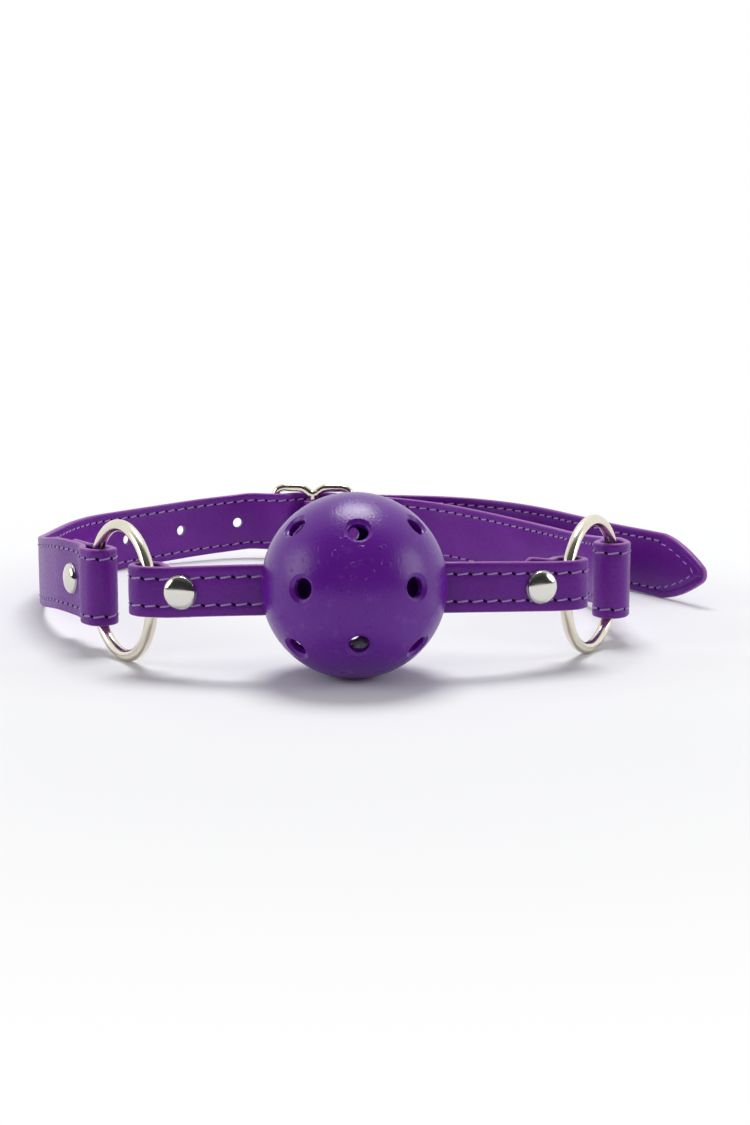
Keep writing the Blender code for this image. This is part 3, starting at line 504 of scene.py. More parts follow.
def ranged(nodes, links, value, low_out, high_out, low_in=0.3, high_in=0.7):
    node = nodes.new("ShaderNodeMapRange")
    numbers = {"From Min": low_in, "From Max": high_in, "To Min": low_out, "To Max": high_out}
    for name, number in numbers.items():
        node.inputs[name].default_value = number
    links.new(value, node.inputs["Value"])
    return node.outputs["Result"]


def bump(nodes, links, shader, height, distance, strength=1.0, under=None):
    node = nodes.new("ShaderNodeBump")
    node.inputs["Distance"].default_value = distance
    node.inputs["Strength"].default_value = strength
    links.new(height, node.inputs["Height"])
    if under:
        links.new(under, node.inputs["Normal"])
    links.new(node.outputs["Normal"], shader.inputs["Normal"])
    return node.outputs["Normal"]


print("finish helpers ready")

# %% [markdown]
# The ball is hard moulded plastic, a deep purple with a satin gloss: a very fine grain breaks up its
# highlights, the moulding left a few clusters of tiny specks, and handling has left faint scuffs.

# %% Ball plastic
def ball_plastic():
    material, nodes, links, shader, variation = new_finish(
        "ball_plastic", patch=60.0, grain=1700.0, scratch=420.0)
    patches = variation.outputs["Patches"]
    colour = blend_colour(nodes, links, patches, (0.096, 0.002, 0.236), (0.12, 0.005, 0.28))
    scuffs = ranged(nodes, links, variation.outputs["Scratches"], 0.0, 0.16, 0.0, 1.0)
    colour = blend_colour(nodes, links, scuffs, colour, (0.24, 0.1, 0.4))
    links.new(colour, shader.inputs["Base Color"])
    links.new(ranged(nodes, links, patches, 0.23, 0.32), shader.inputs["Roughness"])
    shader.inputs["IOR"].default_value = 1.5
    shader.inputs["Specular IOR Level"].default_value = 0.38
    fine = bump(nodes, links, shader, variation.outputs["Grain"], 0.07 * MM, 0.85)
    specks = nodes.new("ShaderNodeTexNoise")
    specks.inputs["Scale"].default_value = 620.0
    specks.inputs["Detail"].default_value = 1.0
    links.new(nodes.new("ShaderNodeTexCoord").outputs["Object"], specks.inputs["Vector"])
    dots = ranged(nodes, links, specks.outputs["Fac"], 0.0, 1.0, 0.64, 0.7)
    clusters = ranged(nodes, links, patches, 0.0, 1.0, 0.52, 0.62)
    few = combined(nodes, links, "MULTIPLY", dots, clusters)
    bump(nodes, links, shader, few, 0.12 * MM, 1.0, fine)
    return material


BALL_PLASTIC = ball_plastic()
print("made", BALL_PLASTIC.name)

# %% [markdown]
# The strap is coated fabric made to look like leather. Small rounded cells, pressed in by a roller, give its
# grain, and the valleys between the cells are painted darker as shade. Its cut edges are sealed with a
# thinner, pinker coat. The strap's mesh carries an attribute named rim, which is 1 on the cut edge, so one
# finish covers both. The rear straps take a lighter copy of the same finish: painted light for the side light
# on them.

# %% Strap leather
def strap_leather(name, dark, light, rough):
    material, nodes, links, shader, variation = new_finish(name, patch=55.0, grain=1500.0, scratch=260.0)
    place = nodes.new("ShaderNodeTexCoord")
    cells = nodes.new("ShaderNodeTexVoronoi")
    cells.feature = "F1"
    cells.inputs["Scale"].default_value = 1500.0
    links.new(place.outputs["Object"], cells.inputs["Vector"])
    rim = nodes.new("ShaderNodeAttribute")
    rim.attribute_name = "rim"
    patches = ranged(nodes, links, variation.outputs["Patches"], 0.0, 1.0)
    colour = blend_colour(nodes, links, patches, dark, light)
    # Painted shade: the grain's valleys between the cells are darkened.
    crease_shade = ranged(nodes, links, cells.outputs["Distance"], 0.0, 0.3, 0.45, 0.75)
    colour = blend_colour(nodes, links, crease_shade, colour, dimmed(dark, 0.6))
    colour = blend_colour(nodes, links, rim.outputs["Fac"], colour, (0.27, 0.07, 0.34))
    links.new(colour, shader.inputs["Base Color"])
    gloss = ranged(nodes, links, variation.outputs["Grain"], rough - 0.07, rough + 0.08)
    links.new(gloss, shader.inputs["Roughness"])
    shader.inputs["Specular IOR Level"].default_value = 0.28
    fine = bump(nodes, links, shader, variation.outputs["Grain"], 0.03 * MM, 0.4)
    flipped = ranged(nodes, links, cells.outputs["Distance"], 1.0, 0.0, 0.0, 0.8)
    bump(nodes, links, shader, flipped, 0.07 * MM, 0.6, fine)
    return material


FRONT_LEATHER = strap_leather("front_leather", (0.108, 0.004, 0.226), (0.14, 0.009, 0.276), 0.37)
# The rear copy is lighter as painted light: it stands for the side light falling on the rear straps.
SIDE_LIT_REAR_LEATHER = strap_leather("rear_leather", (0.122, 0.006, 0.24), (0.158, 0.014, 0.3), 0.37)
print("made", FRONT_LEATHER.name, SIDE_LIT_REAR_LEATHER.name)

# %% [markdown]
# Nickel plate is warmer and softer than chrome. Its gloss varies with fingerprints and polish marks.

# %% Nickel
def nickel(name, tone, rough):
    material, nodes, links, shader, variation = new_finish(name, patch=120.0, grain=1800.0, scratch=700.0)
    patches = variation.outputs["Patches"]
    links.new(blend_colour(nodes, links, patches, dimmed(tone, 0.82), tone), shader.inputs["Base Color"])
    shader.inputs["Metallic"].default_value = 1.0
    links.new(ranged(nodes, links, patches, rough, rough + 0.14), shader.inputs["Roughness"])
    fine = bump(nodes, links, shader, variation.outputs["Grain"], 0.004 * MM, 0.3)
    bump(nodes, links, shader, variation.outputs["Scratches"], 0.004 * MM, 0.35, fine)
    return material


RING_NICKEL = nickel("ring_nickel", (0.85, 0.79, 0.655), 0.08)
RIVET_NICKEL = nickel("rivet_nickel", (0.78, 0.76, 0.71), 0.04)
print("made", RING_NICKEL.name, RIVET_NICKEL.name)

# %% [markdown]
# The sewing thread is a twisted lavender yarn, with fine diagonal ridges and a dull shine; the grooves
# between the ridges are painted darker as shade. Each needle hole is a small slit painted near-black as
# the shade inside the hole, between one stitch and the next.

# %% Thread and needle holes
def thread_finish():
    material, nodes, links, shader, variation = new_finish(
        "lavender_thread", patch=200.0, grain=2400.0, scratch=900.0)
    ridges = nodes.new("ShaderNodeTexWave")
    ridges.wave_type = "BANDS"
    ridges.bands_direction = "DIAGONAL"
    ridges.inputs["Scale"].default_value = 1100.0
    place = nodes.new("ShaderNodeTexCoord")
    links.new(place.outputs["Object"], ridges.inputs["Vector"])
    # Painted shade: the thread is darker in the grooves between the twist's ridges.
    colour = blend_colour(nodes, links, ridges.outputs["Fac"], (0.25, 0.12, 0.4), (0.5, 0.33, 0.66))
    links.new(colour, shader.inputs["Base Color"])
    links.new(ranged(nodes, links, variation.outputs["Grain"], 0.5, 0.68), shader.inputs["Roughness"])
    bump(nodes, links, shader, ridges.outputs["Fac"], 0.05 * MM, 0.7)
    return material


def hole_shade_finish():
    material, nodes, links, shader, variation = new_finish(
        "needle_hole", patch=300.0, grain=2000.0, scratch=900.0)
    grain = variation.outputs["Grain"]
    # Painted shade: this near-black colour stands for the dark inside each needle hole.
    colour = blend_colour(nodes, links, grain, (0.003, 0.001, 0.005), (0.01, 0.003, 0.016))
    links.new(colour, shader.inputs["Base Color"])
    links.new(ranged(nodes, links, variation.outputs["Patches"], 0.8, 0.95), shader.inputs["Roughness"])
    shader.inputs["Specular IOR Level"].default_value = 0.1
    return material


THREAD, HOLE_SHADE = thread_finish(), hole_shade_finish()
print("made", THREAD.name, HOLE_SHADE.name)

# %% [markdown]
# ## Making pieces
# A finished piece is a plain mesh at the origin. These helpers bake an object with modifiers to such a
# mesh, cut it with tools, sweep a round wire along points, and turn a profile about Z.

# %% Mesh helpers
SHARP = radians(35.0)


def linked(name, data):
    thing = bpy.data.objects.new(name, data)
    scene.collection.objects.link(thing)
    return thing


def as_mesh(shape, name):
    """A bmesh shape as a new mesh; the shape is freed."""
    mesh = bpy.data.meshes.new(name)
    shape.to_mesh(mesh)
    shape.free()
    return mesh


def smoothed(mesh, sharp_angle):
    """Smooth shading, with the edges past an angle kept crisp."""
    mesh.shade_smooth()
    mesh.set_sharp_from_angle(angle=sharp_angle)
    return mesh


def baked(thing, name, sharp_angle=SHARP):
    """The evaluated shape as a plain mesh object; the source is removed."""
    bpy.context.view_layer.update()
    graph = bpy.context.evaluated_depsgraph_get()
    mesh = bpy.data.meshes.new_from_object(
        thing.evaluated_get(graph), preserve_all_data_layers=True, depsgraph=graph)
    mesh.transform(thing.matrix_world)
    bpy.data.objects.remove(thing, do_unlink=True)
    mesh.name = name
    return linked(name, smoothed(mesh, sharp_angle))


def carved(thing, name, tools, sharp_angle, operation="DIFFERENCE"):
    """The thing with the tools cut from it or joined to it, as a plain mesh; the tools are removed."""
    for tool in tools:
        boolean = thing.modifiers.new(tool.name, "BOOLEAN")
        boolean.object, boolean.operation, boolean.solver = tool, operation, "EXACT"
    made = baked(thing, name, sharp_angle)
    for tool in tools:
        bpy.data.objects.remove(tool, do_unlink=True)
    made.name = name
    return made


MERGE_WITHIN = 0.002 * MM


def merged(mesh):
    shape = bmesh.new()
    shape.from_mesh(mesh)
    bmesh.ops.remove_doubles(shape, verts=shape.verts, dist=MERGE_WITHIN)
    bmesh.ops.recalc_face_normals(shape, faces=shape.faces)
    shape.to_mesh(mesh)
    shape.free()


WIRE_SHARP = radians(40.0)


def wire(name, points, radius, closed=False, radii=None, fineness=6):
    """A round wire swept along the points."""
    curve = bpy.data.curves.new(name, "CURVE")
    curve.dimensions = "3D"
    curve.bevel_depth = radius
    curve.bevel_resolution = fineness
    curve.use_fill_caps = not closed
    spline = curve.splines.new("POLY")
    spline.points.add(len(points) - 1)
    spline.use_cyclic_u = closed
    for i, point in enumerate(points):
        spline.points[i].co = (*point, 1.0)
        spline.points[i].radius = radii[i] if radii else 1.0
    made = baked(linked(name, curve), name)
    merged(made.data)
    smoothed(made.data, WIRE_SHARP)
    return made


def turned(name, profile, steps):
    """A mesh turned about Z from (radius, height) points that start and end on the axis."""
    shape = bmesh.new()
    points = [shape.verts.new((r, 0.0, z)) for r, z in profile]
    edges = [shape.edges.new(pair) for pair in zip(points, points[1:])]
    bmesh.ops.spin(
        shape, geom=points + edges, cent=(0, 0, 0), axis=(0, 0, 1), angle=tau, steps=steps, use_merge=True)
    bmesh.ops.remove_doubles(shape, verts=shape.verts, dist=MERGE_WITHIN)
    bmesh.ops.recalc_face_normals(shape, faces=shape.faces)
    return smoothed(as_mesh(shape, name), SHARP)


def dress(piece, *materials):
    piece.data.materials.clear()
    for material in materials:
        piece.data.materials.append(material)


def facing(point, direction):
    """A matrix at point whose Z axis is direction and whose Y axis is up."""
    axis = direction.normalized()
    side = Vector((0, 0, 1)).cross(axis).normalized()
    return Matrix.Translation(point) @ Matrix((side, axis.cross(side), axis)).transposed().to_4x4()


print("mesh helpers ready")

# %% [markdown]
# ## The straps
# A real strap is two plies bonded back to back, with rounded, sealed edges and a shallow valley where
# each row of stitches pulls the surface down. A flat ribbon with thickness would have neither, so we
# sweep a full cross-section along the route. Each section is narrowed where a flap's corners are clipped
# or the billet comes to its point.

# %% Cross-section of a strap
EDGE_ROUND = 0.5 * MM
VALLEY_DEPTH, VALLEY_HALF_WIDTH = 0.16 * MM, 0.9 * MM
EDGE_STEPS = 5


def section(half, row_inset):
    """Points (n, h, rim) round a strap's cross-section: n towards its face, h up, rim 1 on the cut edge."""
    thick = STRAP_THICKNESS / 2
    round_ = min(EDGE_ROUND, half * 0.6)
    flat = half - round_
    row = max(half - row_inset, half * 0.25)
    wide = min(VALLEY_HALF_WIDTH, row * 0.6, max(flat - row, 0.1 * MM))
    heights = [-flat, -row - wide, -row - wide / 2, -row, -row + wide / 2, -row + wide, -row / 3]
    heights += [-h for h in heights[::-1]]
    dips = [0.0, 0.0, 0.6, 1.0, 0.6, 0.0, -0.15]
    dips += dips[::-1]
    face = [(thick - VALLEY_DEPTH * dip, h, 0.0) for h, dip in zip(heights, dips)]
    top = []
    for step in range(1, EDGE_STEPS):
        angle = pi * step / EDGE_STEPS
        rim = 1.0 if 0.2 < step / EDGE_STEPS < 0.8 else 0.75
        top.append((thick * cos(angle), flat + round_ * sin(angle), rim))
    back = [(-n, -h, rim) for n, h, rim in face]
    bottom = [(-n, -h, rim) for n, h, rim in top]
    return face + top + back + bottom


print("points round a section:", len(section(REAR_WIDTH / 2, 2.5 * MM)))

# %% [markdown]
# The straps' widths: clipped corners at the flap ends, a bulging point at the billet's tip, and a neck
# where the buckle strap wraps the centre bar between the waists of the frame. The front strap's flaps
# are riveted a little askew, one low and one high, as hand work is.

# %% Half widths
TIP_ARC = 0.41 * pi     # less than a quarter turn leaves a slight corner where the point begins
NOSE_ROUND = 1.6 * MM
FLAP_RISE = (-0.6 * MM, 0.9 * MM)     # how far the left and right flap ends sit off the strap's line
NECK_CLEARANCE = 0.3 * MM
NECK_HALF_RUN, NECK_FADE = 6.5 * MM, 5.0 * MM     # how far the neck runs each way, and widens again over


def clipped(distance):
    return max(0.0, CORNER_CLIP - distance)


def pointed(distance, half):
    if distance >= TIP_LENGTH:
        return half
    share = (sin(distance / TIP_LENGTH * TIP_ARC) / sin(TIP_ARC)) ** 0.86
    nose = TIP_END_WIDTH / 2 * (1 - sqrt(1 - max(0.0, 1 - distance / NOSE_ROUND) ** 2)) * 0.7
    return TIP_END_WIDTH / 2 + (half - TIP_END_WIDTH / 2) * share - nose


def front_half(run):
    return FRONT_WIDTH / 2 - clipped(run) - clipped(front_total - run)


def front_rise(run):
    left = max(0.0, 1 - run / FRONT_FLAP_RUN)
    right = max(0.0, 1 - (front_total - run) / FRONT_FLAP_RUN)
    return FLAP_RISE[0] * left + FLAP_RISE[1] * right


def level(run):
    return 0.0


def billet_half(run):
    return min(REAR_WIDTH / 2 - clipped(run), pointed(billet_total - run, REAR_WIDTH / 2))


bar_run = run_near(buckle_mid, buckle_point(-2.5, 0).xy)


def buckle_half(run):
    waist = REAR_WIDTH / 2 - (WAIST_DEPTH + NECK_CLEARANCE)
    share = max(0.0, min(1.0, (abs(run - bar_run) - NECK_HALF_RUN) / NECK_FADE))
    square = REAR_WIDTH / 2 - clipped(run) - clipped(buckle_total - run)
    return min(waist + (REAR_WIDTH / 2 - waist) * share, square)


print("billet half width at its tip:", round(billet_half(billet_total) / MM, 2), "mm")

# %% [markdown]
# Sweeping: one ring of points for each step of the route, joined by quads, with both ends closed. The
# distance along and the height across become the UV map, in metres.

# %% Sweep a strap
STRAP_SHARP = radians(50.0)
END_THINNING = (0.7, 0.92, 1.0)     # the thickness left at the first sections from an end


def strap_band(name, line, total, face_side, half_at, row_inset, rise_at=level):
    ways = headings(line)
    sections = []
    shape = bmesh.new()
    rim_layer = shape.verts.layers.float.new("rim")
    uv_layer = shape.loops.layers.uv.new("strap_uv")
    for i, (point, way) in enumerate(zip(line, ways)):
        run = total * i / (len(line) - 1)
        out = Vector((*(left_of(way) * face_side), 0.0))
        ring = []
        end = min(i, len(line) - 1 - i)
        thin = END_THINNING[min(end, 2)]
        for n, h, rim in section(half_at(run), row_inset):
            vert = shape.verts.new(point + out * (n * thin) + Vector((0, 0, h + rise_at(run))))
            vert[rim_layer] = 1.0 if end == 0 else rim
            ring.append((vert, run, h))
        sections.append(ring)
    count = len(sections[0])
    for first, second in zip(sections, sections[1:]):
        for j in range(count):
            corners = (first[j], first[(j + 1) % count], second[(j + 1) % count], second[j])
            face = shape.faces.new([corner[0] for corner in corners])
            for loop, (_, run, h) in zip(face.loops, corners):
                loop[uv_layer].uv = (run, h)
    for ring in (sections[0], sections[-1][::-1]):
        shape.faces.new([vert for vert, _, _ in ring])
    bmesh.ops.recalc_face_normals(shape, faces=shape.faces)
    return linked(name, smoothed(as_mesh(shape, name), STRAP_SHARP))


FRONT_ROW_INSET, REAR_ROW_INSET = 2.9 * MM, 2.5 * MM
front_band = strap_band(
    "front_strap", front_line, front_total, -1, front_half, FRONT_ROW_INSET, front_rise)
billet_band = strap_band("billet_strap", billet_line, billet_total, 1, billet_half, REAR_ROW_INSET)
buckle_band = strap_band("buckle_strap", buckle_line, buckle_total, -1, buckle_half, REAR_ROW_INSET)
print("faces:", len(front_band.data.polygons), len(billet_band.data.polygons), len(buckle_band.data.polygons))

# %% [markdown]
# The billet's holes are punched, so they are cut with cylinders. The cutter carries the rim attribute
# too, and its walls then take the look of a cut edge. The hole that the prong uses is pulled oval.

# %% Punch the billet
CUT_RIM, PUNCH_SIDES = 0.9, 28
PRONG_HOLE_RADIUS = PRONG_RADIUS + 0.3 * MM
THROUGH = 9 * MM     # long enough to cut right through a strap at a slant


def rim_mesh(shape, name):
    """A cutter's mesh, marked as a cut edge all over."""
    layer = shape.verts.layers.float.new("rim")
    for vert in shape.verts:
        vert[layer] = CUT_RIM
    return as_mesh(shape, name)


def rim_cylinder(radius, length):
    shape = bmesh.new()
    bmesh.ops.create_cone(
        shape, cap_ends=True, segments=PUNCH_SIDES, radius1=radius, radius2=radius, depth=length)
    return rim_mesh(shape, "punch")


def punch(band, cutters):
    tools = []
    for mesh, matrix in cutters:
        tools.append(linked("punch", mesh))
        tools[-1].matrix_world = matrix
    return carved(band, band.name, tools, STRAP_SHARP)


def prong_line():
    """The middle line of the prong from its eye on the centre bar to its tip on the frame's outside."""
    rest = (FRAME_WIRE + PRONG_RADIUS + BAR_CLEARANCE / 3) / MM
    end = (FRAME_LENGTH / 2 + 0.3 * MM) / MM
    eye = (BAR_RADIUS + BAR_CLEARANCE + PRONG_RADIUS) / MM
    return [
        buckle_point(-eye * 0.8, eye * 0.55), buckle_point(-5.0, 1.15), buckle_point(-8.5, 1.75),
        buckle_point(-end * 0.82, rest - 0.15), buckle_point(-end, rest)]


def billet_holes():
    crossing = buckle_point(*BILLET_CROSSING)
    path = smooth_route(prong_line(), samples=8)
    place, way = point_at(path, run_near(path, crossing.xy))
    swing = (place.xy - BUCKLE_PLAN).length * sin(PRONG_SWING)
    oval = rim_cylinder(PRONG_HOLE_RADIUS, THROUGH)
    oval.transform(Matrix.Diagonal((1 + swing / 2 / PRONG_HOLE_RADIUS, 1.0, 1.0, 1.0)))
    shift = Vector((*(-left_of(way.xy) * swing / 2), 0.0))
    holes = [(oval, facing(lift(place + shift), way))]
    run = run_near(billet_mid, crossing.xy)
    for k in (*range(-HOLES_BEFORE_PRONG, 0), *range(1, HOLES_AFTER_PRONG + 1)):
        spot, heading = point_at(billet_mid, run + k * HOLE_PITCH)
        across = Vector((*left_of(heading.xy.normalized()), 0.0))
        holes.append((rim_cylinder(HOLE_RADIUS, STRAP_THICKNESS + 2 * MM), facing(lift(spot), across)))
    return holes


billet_band = punch(billet_band, billet_holes())
print("billet holes:", 1 + HOLES_BEFORE_PRONG + HOLES_AFTER_PRONG)

# %% [markdown]
# The buckle strap is slotted at its fold so that the prong's eye can sit on the bar.

# %% Slot the buckle strap
SLOT_CLEARANCE = 0.5 * MM


def slot_cutter():
    shape = bmesh.new()
    bmesh.ops.create_cube(shape, size=1.0)
    bmesh.ops.scale(
        shape, vec=(2 * PRONG_SLOT_RUN, THROUGH, 2 * (PRONG_RADIUS + SLOT_CLEARANCE)), verts=shape.verts)
    place = Matrix.Translation(lift(buckle_point(0, 0))) @ Matrix.Rotation(BUCKLE_TURN, 4, "Z")
    return rim_mesh(shape, "slot"), place


buckle_band = punch(buckle_band, [slot_cutter()])
dress(front_band, FRONT_LEATHER)
for band in (billet_band, buckle_band):
    dress(band, SIDE_LIT_REAR_LEATHER)
print("slot length:", round(2 * PRONG_SLOT_RUN / MM), "mm")

# %% [markdown]
# ## Geometry Nodes for what repeats
# Stitches, needle holes, rivets and vents repeat by rule, so node trees place them. A tree reads points
# that carry a direction named out. It turns each instance to that direction, and it ends by making the
# instances real, because an exported model keeps no instances.

# %% Tree helpers
def new_tree(name, sockets):
    tree = bpy.data.node_groups.new(name, "GeometryNodeTree")
    tree.is_modifier = True
    tree.interface.new_socket(name="Geometry", in_out="INPUT", socket_type="NodeSocketGeometry")
    for socket, kind, value in sockets:
        made = tree.interface.new_socket(name=socket, in_out="INPUT", socket_type=kind)
        if value is not None:
            made.default_value = value
    tree.interface.new_socket(name="Geometry", in_out="OUTPUT", socket_type="NodeSocketGeometry")
    return tree, tree.nodes.new("NodeGroupInput"), tree.nodes.new("NodeGroupOutput")


def turned_to_out(tree, along_curve):
    """A rotation with Z along the points' out direction, and X along the curve or level."""
    nodes, links = tree.nodes, tree.links
    out = nodes.new("GeometryNodeInputNamedAttribute")
    out.data_type = "FLOAT_VECTOR"
    out.inputs["Name"].default_value = "out"
    last = nodes.new("FunctionNodeAlignRotationToVector")
    last.axis = "Z"
    links.new(out.outputs["Attribute"], last.inputs["Vector"])
    if along_curve:
        first = nodes.new("FunctionNodeAlignRotationToVector")
        first.axis = "X"
        links.new(nodes.new("GeometryNodeInputTangent").outputs["Tangent"], first.inputs["Vector"])
        links.new(first.outputs["Rotation"], last.inputs["Rotation"])
        last.pivot_axis = "X"
    return last.outputs["Rotation"]


def grown(thing, tree, name, sharp_angle=SHARP, **values):
    """The plain mesh that a tree makes of an object, with inputs set by their identifiers."""
    modifier = thing.modifiers.new(tree.name, "NODES")
    modifier.node_group = tree
    for item in tree.interface.items_tree:
        key = item.name.replace(" ", "_").lower()
        if item.item_type == "SOCKET" and item.in_out == "INPUT" and key in values:
            modifier[item.identifier] = values[key]
    return baked(thing, name, sharp_angle)


def guide(name, rows):
    """A mesh of polylines, each a list of (place, out direction)."""
    mesh = bpy.data.meshes.new(name)
    edges, start = [], 0
    for row in rows:
        edges += [(start + i, start + i + 1) for i in range(len(row) - 1)]
        start += len(row)
    mesh.from_pydata([place for row in rows for place, _ in row], edges, [])
    out = mesh.attributes.new("out", "FLOAT_VECTOR", "POINT")
    out.data.foreach_set("vector", [v for row in rows for _, way in row for v in way])
    return linked(name, mesh)


print("tree helpers ready")

# %% [markdown]
# The stitch tree walks each sewing row at half the stitch pitch. Even points get a short arched thread
# that dives at both ends, laid a little askew as a lockstitch lies. Odd points get the slit of a leather
# needle, which leans the other way: a flat bead whose near-black finish is painted shade for the hole.

# %% Tree: stitches and needle holes
def stitch_tree():
    tree, inside, outside = new_tree("stitch_rows", (
        ("Half Pitch", "NodeSocketFloat", 1.9 * MM), ("Thread Radius", "NodeSocketFloat", 0.25 * MM),
        ("Hole Radius", "NodeSocketFloat", 0.42 * MM), ("Thread", "NodeSocketMaterial", None),
        ("Hole", "NodeSocketMaterial", None)))
    nodes, links = tree.nodes, tree.links
    curve, even_steps = nodes.new("GeometryNodeMeshToCurve"), nodes.new("GeometryNodeResampleCurve")
    even_steps.mode = "LENGTH"
    links.new(inside.outputs["Geometry"], curve.inputs["Mesh"])
    links.new(curve.outputs["Curve"], even_steps.inputs["Curve"])
    links.new(inside.outputs["Half Pitch"], even_steps.inputs["Length"])
    odd, not_odd = nodes.new("ShaderNodeMath"), nodes.new("ShaderNodeMath")
    odd.operation, not_odd.operation = "MODULO", "SUBTRACT"
    odd.inputs[1].default_value = 2.0
    not_odd.inputs[0].default_value = 1.0
    links.new(nodes.new("GeometryNodeInputIndex").outputs["Index"], odd.inputs[0])
    links.new(odd.outputs["Value"], not_odd.inputs[1])
    arch, yarn, tube = (
        nodes.new("GeometryNodeCurveQuadraticBezier"), nodes.new("GeometryNodeCurvePrimitiveCircle"),
        nodes.new("GeometryNodeCurveToMesh"))
    arch.inputs["Resolution"].default_value = 6
    arch.inputs["Start"].default_value = (-1.4 * MM, -0.2 * MM, -0.18 * MM)
    arch.inputs["Middle"].default_value = (0.0, 0.0, 0.38 * MM)
    arch.inputs["End"].default_value = (1.4 * MM, 0.2 * MM, -0.18 * MM)
    yarn.inputs["Resolution"].default_value = 6
    tube.inputs["Fill Caps"].default_value = True
    links.new(inside.outputs["Thread Radius"], yarn.inputs["Radius"])
    links.new(arch.outputs["Curve"], tube.inputs["Curve"])
    links.new(yarn.outputs["Curve"], tube.inputs["Profile Curve"])
    pit, flat = nodes.new("GeometryNodeMeshUVSphere"), nodes.new("GeometryNodeTransform")
    pit.inputs["Segments"].default_value = 10
    pit.inputs["Rings"].default_value = 4
    flat.inputs["Rotation"].default_value = (0.0, 0.0, radians(-32.0))
    flat.inputs["Scale"].default_value = (2.0, 0.95, 0.34)
    links.new(inside.outputs["Hole Radius"], pit.inputs["Radius"])
    links.new(pit.outputs["Mesh"], flat.inputs["Geometry"])
    rotation = turned_to_out(tree, True)
    join, real = nodes.new("GeometryNodeJoinGeometry"), nodes.new("GeometryNodeRealizeInstances")
    for chosen, shape, finish in (
            (not_odd.outputs["Value"], tube.outputs["Mesh"], "Thread"),
            (odd.outputs["Value"], flat.outputs["Geometry"], "Hole")):
        place, paint = nodes.new("GeometryNodeInstanceOnPoints"), nodes.new("GeometryNodeSetMaterial")
        links.new(shape, paint.inputs["Geometry"])
        links.new(inside.outputs[finish], paint.inputs["Material"])
        links.new(even_steps.outputs["Curve"], place.inputs["Points"])
        links.new(chosen, place.inputs["Selection"])
        links.new(paint.outputs["Geometry"], place.inputs["Instance"])
        links.new(rotation, place.inputs["Rotation"])
        links.new(place.outputs["Instances"], join.inputs["Geometry"])
    links.new(join.outputs["Geometry"], real.inputs["Geometry"])
    links.new(real.outputs["Geometry"], outside.inputs["Geometry"])
    return tree


STITCHES = stitch_tree()
print("tree:", STITCHES.name, "with", len(STITCHES.nodes), "nodes")

# %% [markdown]
# Two rows run on each side of each strap. On the billet they follow the pointed end and meet at its tip,
# so there they are one row that turns round. They lie a little further in where the edge slopes.

# %% Sewing rows
ROW_START, ROW_LEAST_HEIGHT = 2.4 * MM, 0.2 * MM
TIP_SHIFT, TIP_INSET = 2.6 * MM, 0.4 * MM


def sewing_rows(line, total, half_at, inset, meets_at_tip=False, rise_at=level):
    ways = headings(line)
    surface = STRAP_THICKNESS / 2 - VALLEY_DEPTH
    end_gap = 0.0 if meets_at_tip else ROW_START
    rows = []
    for face_side in (-1, 1):
        pair = []
        for up in (-1, 1):
            row = []
            for i, (point, way) in enumerate(zip(line, ways)):
                run = total * i / (len(line) - 1)
                ahead = run + TIP_SHIFT if meets_at_tip else run
                sloped = TIP_INSET if meets_at_tip and total - ahead < TIP_LENGTH else 0.0
                height = half_at(min(ahead, total)) - inset - sloped
                if run < ROW_START or height < ROW_LEAST_HEIGHT or ahead > total - end_gap:
                    continue
                out = Vector((*(left_of(way) * face_side), 0.0))
                row.append((point + out * surface + Vector((0, 0, height * up + rise_at(run))), out))
            pair.append(row)
        rows += [pair[0] + pair[1][::-1]] if meets_at_tip else pair
    return rows


def sewn(name, rows):
    return grown(guide(name, rows), STITCHES, name, radians(70.0), thread=THREAD, hole=HOLE_SHADE)


front_stitches = sewn("front_stitches", sewing_rows(
    front_line, front_total, front_half, FRONT_ROW_INSET, rise_at=front_rise))
rear_stitches = sewn("rear_stitches", [
    *sewing_rows(billet_line, billet_total, billet_half, REAR_ROW_INSET, True),
    *sewing_rows(buckle_line, buckle_total, buckle_half, REAR_ROW_INSET)])
print("stitch faces:", len(front_stitches.data.polygons), len(rear_stitches.data.polygons))

# %% [markdown]
# ## Rivets
# Each flap is held by a double-cap rivet: a domed cap on the outside, a post through both layers and a
# flat back inside. A circle turned about its axis gives the shape, with a rolled rim on the cap, and a
# tree stands one on each rivet's place.

# %% Rivet shape
STACK = 2 * STRAP_THICKNESS + LAYER_GAP
DOME_STEPS, ROLL_STEPS, FOOT_STEPS = 12, 6, 4
ROLL = 0.12 * MM     # how far the rolled rim stands out past the cap
SINK = 0.05 * MM     # how far the cap and the back press into the leather
FILLET_OUT, FILLET_DOWN = 0.2 * MM, 0.3 * MM
FOOT_ROUND, FOOT_DROP = 0.3 * MM, 0.15 * MM


